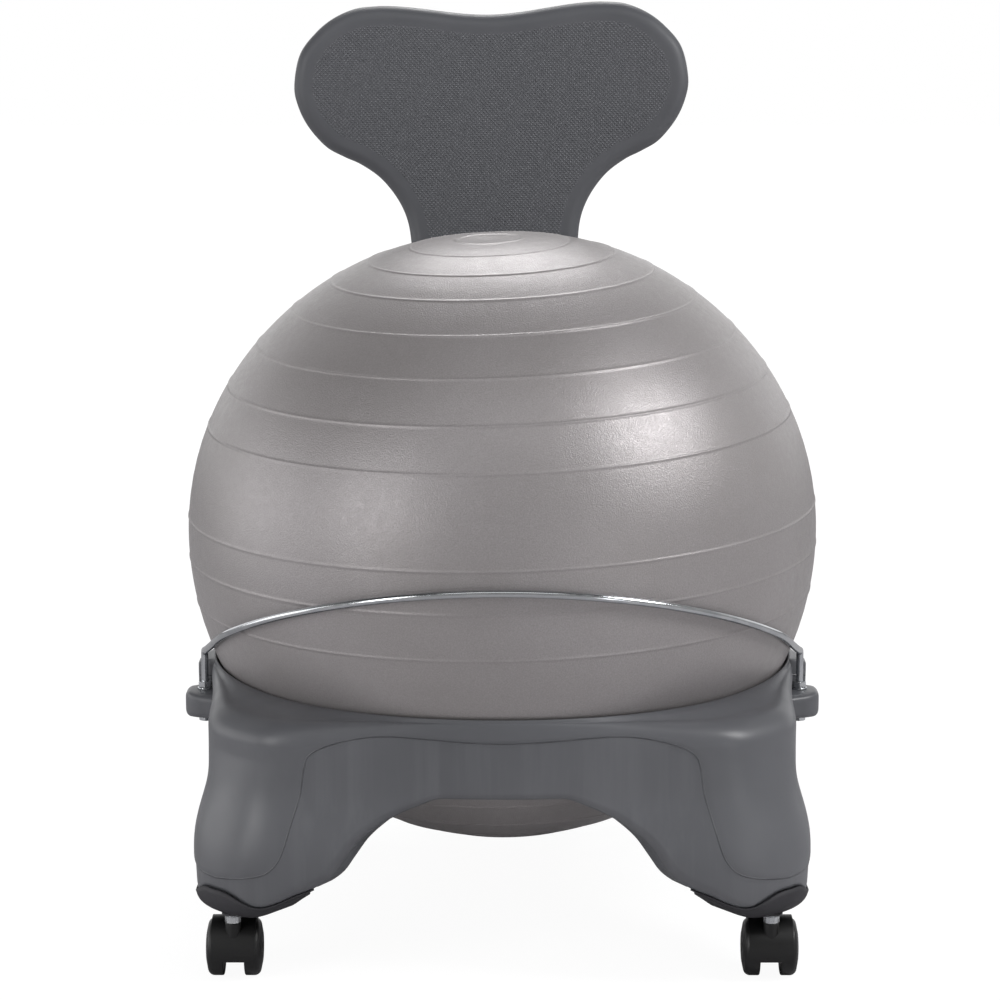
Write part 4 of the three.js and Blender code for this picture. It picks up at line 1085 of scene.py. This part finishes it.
def add_ear(side, sign, materials):
    """A lug: superellipses of |y| and |z| that narrow outward, rounded off at the tip both ways."""
    x = np.concatenate([
        np.linspace(EAR_ROOT_X, EAR_TIP_X - EAR_CORNER_RADIUS, 18)[:-1],
        EAR_TIP_X - EAR_CORNER_RADIUS * (1 - np.sin(np.linspace(0, QUARTER, 22))),
    ])
    out = (x - EAR_ROOT_X) / (EAR_TIP_X - EAR_ROOT_X)
    flare = mix(EAR_TIP_HALF_WIDTH, EAR_ROOT_HALF_WIDTH, (1 - out) ** EAR_FLARE_POWER)
    plan = np.clip((x - EAR_TIP_X + EAR_CORNER_RADIUS) / EAR_CORNER_RADIUS, 0, 1)
    edge = np.clip((x - EAR_TIP_X + EAR_EDGE_ROUND) / EAR_EDGE_ROUND, 0, 1)
    half_width = flare - EAR_CORNER_RADIUS * (1 - np.sqrt(1 - plan**2))
    half_height = EAR_HEIGHT / 2 - EAR_EDGE_ROUND * (1 - np.sqrt(1 - edge**2))
    turn = around(EAR_SIDES)
    power = 2 / EAR_SQUARENESS
    across = np.sign(np.cos(turn)) * np.abs(np.cos(turn)) ** power
    upright = np.sign(np.sin(turn)) * np.abs(np.sin(turn)) ** power
    rings = np.stack([
        np.broadcast_to(sign * x[:, None], (len(x), len(turn))),
        BAR_FOOT_Y + half_width[:, None] * across,
        EAR_TOP_Z - EAR_HEIGHT / 2 + half_height[:, None] * upright,
    ], -1)
    add_to_base(f"ear_{side}", rings, materials)


def plan_loop(half_width, front_y, rear_y, radius):
    """A rectangle with rounded corners in plan."""
    corners = [(-half_width, front_y), (half_width, front_y), (half_width, rear_y), (-half_width, rear_y)]
    return rounded(corners, radius, 14)


def add_socket(materials):
    """The block behind the ring: loops up its outside, over its rounded top and down into the pocket."""

    def outside(inset):
        front_y = SOCKET_FRONT_Y + inset
        return plan_loop(SOCKET_HALF_WIDTH - inset, front_y, SOCKET_REAR_Y - inset, SOCKET_CORNER_RADIUS)

    def inside(gap, radius):
        rear_y = BACK_FRONT_Y + BACK_THICKNESS + gap
        return plan_loop(STEM_HALF_WIDTH + gap, BACK_FRONT_Y - gap, rear_y, radius) - [rolled_off, 0]

    rolled_off = math.tan(BACK_ROLL) * (SOCKET_TOP_Z - BOLT_Z)
    turn = np.linspace(0, QUARTER, 6)
    inset = SOCKET_EDGE_ROUND * (1 - np.sin(turn))
    depth = SOCKET_EDGE_ROUND * (1 - np.cos(turn))
    loops = [(outside(i), SOCKET_LOW_Z + d) for i, d in zip(inset, depth)]
    loops += [(outside(i), SOCKET_TOP_Z - d) for i, d in zip(inset[::-1], depth[::-1])]
    loops.append((inside(MOUTH_GAP, POCKET_CORNER_RADIUS + MOUTH_DEPTH), SOCKET_TOP_Z))
    for z in (SOCKET_TOP_Z - MOUTH_DEPTH, SOCKET_TOP_Z - POCKET_DEPTH):
        loops.append((inside(POCKET_GAP, POCKET_CORNER_RADIUS), z))
    rings = np.stack([np.column_stack([plan, np.full(len(plan), z)]) for plan, z in loops])
    distance = np.hypot(rings[..., 0], rings[..., 1])
    least = ball_radius_at(rings[..., 2]) + RIB_HEIGHT + SEAT_CLEARANCE
    rings[..., :2] *= np.maximum(1, least / distance)[..., None]
    add_to_base("backrest_socket", rings, materials, sharp=50)


# Retaining bar


def bar_path():
    """The bar's middle line: up from one ear, hugging the ball round the front, and down to the other ear."""
    foot_angle = math.atan2(BAR_FOOT_X, -BAR_FOOT_Y)
    end_angle = foot_angle - BAR_BEND_RADIUS / BAR_FOOT_X

    def on_arc(angle):
        rise = (np.cos(angle) - math.cos(foot_angle)) / (1 - math.cos(foot_angle))
        z = mix(BAR_BEND_Z, BAR_FRONT_Z, np.clip(rise, 0, 1) ** BAR_RISE_POWER)
        hugging = ball_radius_at(z) + BAR_BALL_GAP + BAR_RADIUS
        flare = smooth((np.abs(angle) / foot_angle - 1) / BAR_FLARE_SHARE + 1)
        radius = mix(hugging, math.hypot(BAR_FOOT_X, BAR_FOOT_Y), flare)
        return np.stack([radius * np.sin(angle), -radius * np.cos(angle), z], -1)

    def end(sign):
        heights = [EAR_TOP_Z - EAR_HEIGHT - BAR_END_BELOW_EAR, BAR_BEND_Z - BAR_BEND_RADIUS, BAR_BEND_Z]
        low, start, knee = (np.array([sign * BAR_FOOT_X, BAR_FOOT_Y, z]) for z in heights)
        stop = on_arc(np.array([sign * end_angle]))[0]
        t = np.linspace(0, 1, BAR_BEND_POINTS)[:, None]
        bend = (1 - t) ** 2 * start + 2 * t * (1 - t) * knee + t**2 * stop
        return np.vstack([low, low + [0, 0, 0.4], mix(low, start, 0.5), bend])

    arc = on_arc(np.linspace(-end_angle, end_angle, BAR_ARC_POINTS)[1:-1])
    return np.vstack([end(-1), arc, end(1)[::-1]])


def tube(path, radius, count):
    """Rings of one radius, square to a path: path + radius (side cos a + other sin a)."""
    along = np.gradient(path, axis=0)
    along /= np.linalg.norm(along, axis=1, keepdims=True)
    side = np.cross(along, [0.0, 1.0, 0.02])
    side /= np.linalg.norm(side, axis=1, keepdims=True)
    other = np.cross(along, side)
    angle = around(count)[:, None]
    return path[:, None] + radius * (side[:, None] * np.cos(angle) + other[:, None] * np.sin(angle))


def hexagonal(flats, bore, low, high):
    """A nut or bolt head: six flats cut by a 30 degree cone at each end; a closed ring if it has a bore."""
    half_flat = math.pi / 6
    angle = around(NUT_SIDES)
    hexagon = flats / 2 / np.cos((angle + half_flat) % (2 * half_flat) - half_flat)
    depth = flats / 2 * (1 / math.cos(half_flat) - 1) * math.tan(half_flat)
    steps = np.linspace(0, 1, 4)
    heights = np.concatenate([low + depth * steps, high - depth * steps[::-1]])
    from_end = np.minimum(heights - low, high - heights)[:, None]
    cone = flats / 2 * NUT_CONE_SHARE + from_end / math.tan(half_flat)
    radius = np.minimum(hexagon, cone)
    if bore:
        inner = np.full((1, len(angle)), bore)
        radius = np.vstack([inner, radius, inner])
        heights = np.concatenate([[low], heights, [high]])
    return lofted(about_z(radius, angle, heights[:, None]), endless=bool(bore))


def washer(bore, radius, low, high):
    """A flat ring with its edges slightly broken."""
    profile = rounded([(bore, low), (radius, low), (radius, high), (bore, high)], BROKEN_EDGE, 3)
    return lofted(turned(profile, WASHER_SIDES), endless=True)


def moved(part, x, y):
    """A part that was made about the origin, at its place in plan."""
    points, faces = part
    return points + np.array([x, y, 0]), faces


def add_hardware(parts, materials):
    """Small steel parts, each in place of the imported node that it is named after."""
    for node, part in parts.items():
        mesh = add_mesh(f"{node}_turned", closed(part), sharp=25)
        place(mesh, "base", materials["steel"], "steel", node)


def add_bar(materials):
    """The rod, and at each end a washer and a nut over the ear and a nut under it."""
    mesh = add_mesh("bar_rod", closed(lofted(about_ball_axis(tube(bar_path(), BAR_RADIUS, BAR_SIDES)))))
    place(mesh, "base", materials["chrome"], "steel", "retaining_bar")
    bore = BAR_RADIUS + SEAT_GAP / 2
    washer_low = EAR_TOP_Z + SEAT_GAP / 2
    nut_low = washer_low + WASHER_THICKNESS + SEAT_GAP / 2
    lower_top = EAR_TOP_Z - EAR_HEIGHT - SEAT_GAP / 2
    for side, sign in SIDES.items():
        at = (sign * BAR_FOOT_X, BAR_FOOT_Y + AXIS_Y)
        parts = {
            f"bar_washer_{side}": washer(bore, WASHER_RADIUS, washer_low, washer_low + WASHER_THICKNESS),
            f"bar_nut_upper_{side}": hexagonal(NUT_FLATS, bore, nut_low, nut_low + NUT_HEIGHT),
            f"bar_nut_lower_{side}": hexagonal(NUT_FLATS, bore, lower_top - NUT_HEIGHT, lower_top),
        }
        add_hardware({node: moved(part, *at) for node, part in parts.items()}, materials)


# Backrest


def back_middle_y(x, z):
    """Upright behind the ball, then leaning back, with the wings forward by the square of x."""
    lean = BACK_LEAN * smooth((z - BALL_CENTRE_Z) / (PAD_TOP_Z - BALL_CENTRE_Z))
    wings = WING_FORWARD * (x / PAD_HALF_WIDTH) ** 2 * smooth((z - WING_START_Z) / WING_BLEND_HEIGHT)
    return BACK_MIDDLE_Y + lean - wings


def dipped(x, row_z):
    """Lowers the middle near the top, so that the top edge dips between two lobes."""
    height = smooth((row_z - PAD_DIP_START_Z) / (PAD_TOP_Z - PAD_DIP_START_Z))
    return row_z - PAD_DIP * height * (1 - smooth(np.abs(x) / PAD_PEAK_X))


def rolled(points):
    """Turned a little off upright about the height of the bolts, as the backrest stands."""
    x, z = spun(points[..., 0], points[..., 2] - BOLT_Z, BACK_ROLL)
    return np.stack([x, points[..., 1], z + BOLT_Z], -1)


def add_backrest(materials):
    """Front and back sheets over one outline, rounded at the edge: half is h sqrt(1 - (1 - d/h) squared)."""
    shares = [(STEM_HALF_WIDTH / PAD_HALF_WIDTH, STEM_LOW_Z / PAD_TOP_Z), *BACK_OUTLINE_SHARES]
    shares.append((PAD_PEAK_X / PAD_HALF_WIDTH, 1))
    corners = np.array(shares) * [PAD_HALF_WIDTH, PAD_TOP_Z]
    right = through_points(corners, np.linspace(0, 1, 260))
    top_x = np.linspace(PAD_PEAK_X, -PAD_PEAK_X, 120)[1:-1]
    top = np.column_stack([top_x, dipped(top_x, np.full_like(top_x, PAD_TOP_Z))])
    left = right[::-1] * [-1, 1]
    line = np.vstack([right, top, left, right[:1]])
    close = np.linspace(0, 1, 9)[:-1] ** 2 * BACK_CLOSE_SHARE
    ends = through_points(corners, np.concatenate([close, np.linspace(BACK_CLOSE_SHARE, 1, BACK_ROWS)]))
    across = np.sin(np.linspace(-QUARTER, QUARTER, BACK_COLUMNS + 1))
    x = ends[:, :1] * across
    z = dipped(x, np.broadcast_to(ends[:, 1:], x.shape))
    depth = distance_to_line(np.stack([x.ravel(), z.ravel()], -1), line).reshape(x.shape)
    depth[:, 0] = depth[:, -1] = depth[0] = depth[-1] = 0
    half = BACK_THICKNESS / 2 * np.sqrt(1 - (1 - np.minimum(depth / BACK_EDGE_ROUND, 1)) ** 2)
    middle = back_middle_y(x, z)
    front = rolled(np.stack([x, middle - half, z], -1))
    back = rolled(np.stack([x, middle + half, z], -1))
    points, faces, keep = two_sheets(front, back)
    # Where the dots go: this sets both their bump and their painted highlight.
    inside = smooth((depth - DOT_BORDER) / DOT_FADE)
    dotted = inside * smooth((z - SOCKET_TOP_Z - DOTS_ABOVE_SOCKET) / (2 * DOT_FADE))
    values = np.concatenate([dotted.ravel(), 0 * dotted.ravel()])[keep]
    mesh = add_mesh("backrest_moulding", closed((about_ball_axis(points), faces)))
    add_values(mesh, "dotted", values)
    place(mesh, "base", materials["back"], "backrest", "backrest_shell")
    add_back_bolts(materials)


def two_sheets(front, back):
    """Two grids joined along a border that they share; keep names the points of both that stay."""
    rows, columns = front.shape[:2]
    number = np.arange(rows * columns).reshape(rows, columns)
    second = number + rows * columns
    for border in (np.s_[0], np.s_[-1], np.s_[:, 0], np.s_[:, -1]):
        second[border] = number[border]
    faces = quads(rows, columns, False, False)
    behind = second.ravel()[faces][:, ::-1]
    used = np.unique(np.concatenate([faces, behind]))
    place_of = np.zeros(2 * rows * columns, int)
    place_of[used] = np.arange(len(used))
    points = np.vstack([front.reshape(-1, 3), back.reshape(-1, 3)])[used]
    return points, [place_of[faces], place_of[behind]], used


def add_back_bolts(materials):
    """The bolt heads and washers behind the socket, laid along Y and turned with the backrest."""

    def laid(part, x):
        points, faces = part
        points = np.stack([x + points[:, 0], points[:, 2], BOLT_Z - points[:, 1]], -1)
        return about_ball_axis(rolled(points)), faces

    rear = SOCKET_REAR_Y + SEAT_GAP / 2
    head = rear + BOLT_WASHER_THICKNESS + SEAT_GAP / 2
    for side, sign in SIDES.items():
        parts = {
            f"backrest_washer_{side}": washer(
                BOLT_BORE, BOLT_WASHER_RADIUS, rear, rear + BOLT_WASHER_THICKNESS
            ),
            f"backrest_bolt_{side}": hexagonal(BOLT_HEAD_FLATS, 0, head, head + BOLT_HEAD_HEIGHT),
        }
        add_hardware({node: laid(part, sign * BOLT_X) for node, part in parts.items()}, materials)


# Casters


def wheel_part(sign):
    """A wheel's rounded profile turned about the axle, which lies along X.

    It goes out along the inner face, over the tread and the raised rim, and in over the face to the hub.
    """
    corners = [
        (AXLE_BORE, WHEEL_INNER_X), (WHEEL_RADIUS - 0.6, WHEEL_INNER_X), (WHEEL_RADIUS, WHEEL_INNER_X + 0.8),
        (WHEEL_RADIUS, WHEEL_TREAD_X), (WHEEL_RADIUS - 2.4, WHEEL_FACE_X - 0.8),
        (WHEEL_RIM_RADIUS, WHEEL_FACE_X + 1.1), (WHEEL_RIM_RADIUS - 0.8, WHEEL_FACE_X + 0.4),
        (WHEEL_HUB_RADIUS + 1, WHEEL_FACE_X + 0.6), (WHEEL_HUB_RADIUS, WHEEL_FACE_X),
        (WHEEL_HUB_DIMPLE, WHEEL_FACE_X), (WHEEL_HUB_DIMPLE, AXLE_END_X), (AXLE_BORE, AXLE_END_X),
    ]
    radii = [0.4, 0.4, 0.5, 2.4, 3, 0.5, 0.5, 0.6, 0.5, 0.1, 0.1, 0.3]
    rings = turned(rounded(corners, radii, 6), WHEEL_SIDES)
    laid = np.stack([sign * rings[..., 2], rings[..., 0] + CASTER_TRAIL, rings[..., 1] + WHEEL_RADIUS], -1)
    return lofted(laid, endless=True)


def hood_angle(share):
    """Angle about the axle from the hood's front, below the axle's height, over the top to its rear."""
    return math.pi - mix(HOOD_FRONT, HOOD_REAR, share)


def fender_part():
    """A thin curved plate over both wheels, with rounded edges and rounded lower corners."""
    stretches = [np.linspace(0, 0.1, 9)[:-1], np.linspace(0.1, 0.97, 50), np.linspace(0.97, 1, 5)[1:]]
    share = np.concatenate(stretches)
    angle = hood_angle(share)
    arc = share * (HOOD_REAR - HOOD_FRONT) * HOOD_OUTER_RADIUS
    short = np.clip((HOOD_CORNER - arc) / HOOD_CORNER, 0, 1)
    half = HOOD_HALF_WIDTH - HOOD_CORNER * (1 - np.sqrt(1 - np.minimum(short, 0.98) ** 2))
    loop = rounded([(-1, 0), (1, 0), (1, 1), (-1, 1)], [0.02, 0.02, 0.03, 0.03], 4)
    x = half[:, None] * loop[:, 0]
    depth = np.maximum(np.abs(loop[:, 0]) - HOOD_EDGE_FROM, 0)
    r = mix(HOOD_INNER_RADIUS, HOOD_OUTER_RADIUS, loop[:, 1]) - depth
    y = CASTER_TRAIL + r * np.cos(angle)[:, None]
    z = WHEEL_RADIUS + r * np.sin(angle)[:, None]
    return lofted(np.stack([x, y, z], -1))


def web_part():
    """The plate between the wheels: a sector about the axle, its edges rounded."""
    share = np.linspace(0, 1, 40)
    angle = hood_angle(share)
    radius = (HOOD_INNER_RADIUS + HOOD_OUTER_RADIUS) / 2
    outline = np.vstack([
        np.column_stack([radius * np.cos(angle), radius * np.sin(angle)]),
        HOOD_WEB_FOOT,
    ])
    middle = outline.mean(0)
    turn = np.linspace(0, QUARTER, 4)
    inset = 1 - 0.05 * (1 - np.sin(turn))
    x = HOOD_WEB_HALF_WIDTH - 1.0 * (1 - np.cos(turn))
    widths = np.concatenate([-x, x[::-1]])
    insets = np.concatenate([inset, inset[::-1]])
    plan = middle + insets[:, None, None] * (outline - middle)
    across = np.broadcast_to(widths[:, None], plan.shape[:2])
    return lofted(np.stack([across, CASTER_TRAIL + plan[..., 0], WHEEL_RADIUS + plan[..., 1]], -1))


def boss_part():
    """The upright boss that the stem's pin turns in."""
    corners = [
        (BOSS_BORE, BOSS_TOP_Z), (BOSS_RADIUS, BOSS_TOP_Z),
        (BOSS_RADIUS, BOSS_LOW_Z), (BOSS_BORE, BOSS_LOW_Z),
    ]
    return lofted(turned(rounded(corners, [0.3, 0.9, 1.5, 0.3], 5), BOSS_SIDES), endless=True)


def add_casters(materials):
    """At each corner a hood with its web and boss, and a wheel on each side of it."""
    for name, (sign_x, sign_y) in CORNERS.items():
        at = (sign_x * CASTER_X, sign_y * CASTER_Y + AXIS_Y)
        hood = joined(closed(fender_part()), closed(web_part()), closed(boss_part()))
        mesh = add_mesh(f"caster_fender_{name}", moved(hood, *at), sharp=60)
        place(mesh, f"caster_{name}", materials["caster"], "caster", f"caster_hood_{name}")
        for side, sign in SIDES.items():
            mesh = add_mesh(f"wheel_{name}_{side}_disc", closed(moved(wheel_part(sign), *at)))
            node = f"caster_wheel_{name}_{side}"
            place(mesh, f"wheel_{name}_{side}", materials["wheel"], "caster", node)


# Studio


def add_floor():
    """A white floor that the camera sees as white, with the chair's soft shadow on it."""
    made = Finish("floor_white", paint(250, 250, 250), 0.9, specular=0.0)
    rays = made.node("LightPath").outputs
    glow = made.node("Emission", Color=(1, 1, 1, 1), Strength=FLOOR_GLOW)
    away = made.node("VectorMath", Vector=made.coordinates)
    away.operation = "LENGTH"
    far = away.outputs["Value"]
    white = made.ranged(far, FLOOR_WHITER_FROM, FLOOR_WHITE_FROM, 0.9, 1, eased=True)
    lit = made.color_mix(rays["Is Glossy Ray"], paint(238, 237, 238), paint(180, 179, 181))
    made.fill(made.shader, Base_Color=made.color_mix(rays["Is Camera Ray"], lit, paint(250, 250, 250)))
    both = made.node("MixShader", Fac=made.math("MULTIPLY", rays["Is Camera Ray"], white))
    made.feed(both.inputs[1], made.shader.outputs["BSDF"])
    made.feed(both.inputs[2], glow.outputs["Emission"])
    made.fill(made.tree.nodes["Material Output"], Surface=both.outputs["Shader"])
    corners = [(x * FLOOR_REACH, y * FLOOR_REACH, 0) for x, y in ((-1, -1), (1, -1), (1, 1), (-1, 1))]
    mesh = bpy.data.meshes.new("floor")
    mesh.from_pydata(corners, [], [(0, 1, 2, 3)])
    mesh.materials.append(made.material)
    floor = bpy.data.objects.new("floor", mesh)
    bpy.context.scene.collection.objects.link(floor)


def add_world():
    """White for the camera; a plain soft light for surfaces, and darker overhead where they reflect it."""
    world = bpy.data.worlds.new("studio")
    bpy.context.scene.world = world
    world.use_nodes = True
    made = Tree(world.node_tree)
    rays = made.node("LightPath").outputs
    direction = made.split(made.node("TexCoord").outputs["Generated"])
    overhead = made.ranged(made.math("ABSOLUTE", direction["Z"]), 0.25, 0.75, 0.42, 0.08)
    behind = made.ranged(direction["Y"], 0.2, 0.8, 1, 2.8)
    surface = made.mixed("VALUE", rays["Is Glossy Ray"], WORLD_LIGHT, made.math("MULTIPLY", overhead, behind))
    seen = made.math("MAXIMUM", rays["Is Camera Ray"], rays["Is Transmission Ray"])
    strength = made.mixed("VALUE", seen, surface, 1.0)
    made.fill(made.tree.nodes["Background"], Color=(1, 1, 1, 1), Strength=strength)


def add_lamp(name, location, target, size, power):
    """A rectangular lamp that faces a target."""
    light = bpy.data.lights.new(name, "AREA")
    light.shape = "RECTANGLE"
    light.size, light.size_y = size
    light.energy = power
    lamp = bpy.data.objects.new(name, light)
    lamp.location = location
    direction = Vector(target) - Vector(location)
    lamp.rotation_euler = direction.to_track_quat("-Z", "Y").to_euler()
    bpy.context.scene.collection.objects.link(lamp)


def add_lights():
    """Soft rectangular lamps: place, what they face, size in metres and power in watts."""
    middle = (0, 0, 0.4)
    add_lamp("key", (1.78, -0.75, 1.87), middle, (0.7, 0.8), 36)
    add_lamp("rear_top", (0, 1.7, 2.3), middle, (1.2, 0.35), 24)
    add_lamp("left_panel", (-1.6, -1.6, 1.0), middle, (0.6, 1.3), 13.5)
    add_lamp("right_low", (1.3, -1.75, 0.3), (0.22, -0.2, 0.2), (0.3, 0.5), 2)
    add_lamp("left_side", (-2.6, 0.1, 0.6), middle, (1.8, 1.4), 14)
    add_lamp("front_fill", (0, -1.8, 2.7), middle, (2.4, 1.2), 9)


def add_camera():
    """The camera at the place and angle that were fitted to the photograph."""
    data = bpy.data.cameras.new("camera")
    data.lens = CAMERA_LENS
    data.sensor_width = CAMERA_SENSOR
    data.clip_end = CAMERA_SEES_TO
    camera = bpy.data.objects.new("camera", data)
    camera.location = CAMERA_AT
    camera.rotation_euler = Vector(CAMERA_LOOKS_ALONG).to_track_quat("-Z", "Y").to_euler()
    bpy.context.scene.collection.objects.link(camera)
    bpy.context.scene.camera = camera


def dress_packed_nodes(materials):
    """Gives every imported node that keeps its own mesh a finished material, shown or not."""
    by_start = {
        "ball_skin": "ball", "valve_plug": "plug", "base_shell": "base", "backrest_shell": "back",
        "foot_cap": "cap", "caster_sleeve": "cap", "caster_hood": "caster", "caster_wheel": "wheel",
        "retaining_bar": "chrome", "caster_stem": "steel",
    }
    for name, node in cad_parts.items():
        chosen = next((key for start, key in by_start.items() if name.startswith(start)), "steel")
        node.data.materials.clear()
        node.data.materials.append(materials[chosen])


def main():
    """Makes the finishes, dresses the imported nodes, adds every piece and sets up the studio."""
    scene = bpy.context.scene
    scene.view_settings.view_transform = "Standard"
    materials = {
        "ball": ball_vinyl(),
        "base": base_plastic(),
        "back": back_plastic(),
        "cap": moulded("cap_plastic", paint(34, 33, 37), paint(42, 41, 46), 0.6),
        "caster": moulded("caster_nylon", paint(7, 7, 8), paint(10, 10, 11), 0.46),
        "wheel": moulded("wheel_nylon", paint(7, 7, 8), paint(10, 10, 11), 0.4),
        "chrome": plated_steel("bar_plating", 0.14, 0.94),
        "steel": plated_steel("zinc_plating", 0.24, 0.98),
        "plug": moulded("plug_plastic", paint(178, 175, 171), paint(190, 187, 183), 0.5),
    }
    dress_packed_nodes(materials)
    add_base(materials)
    add_ball(materials)
    add_bar(materials)
    add_backrest(materials)
    add_casters(materials)
    add_floor()
    add_world()
    add_lights()
    add_camera()


main()
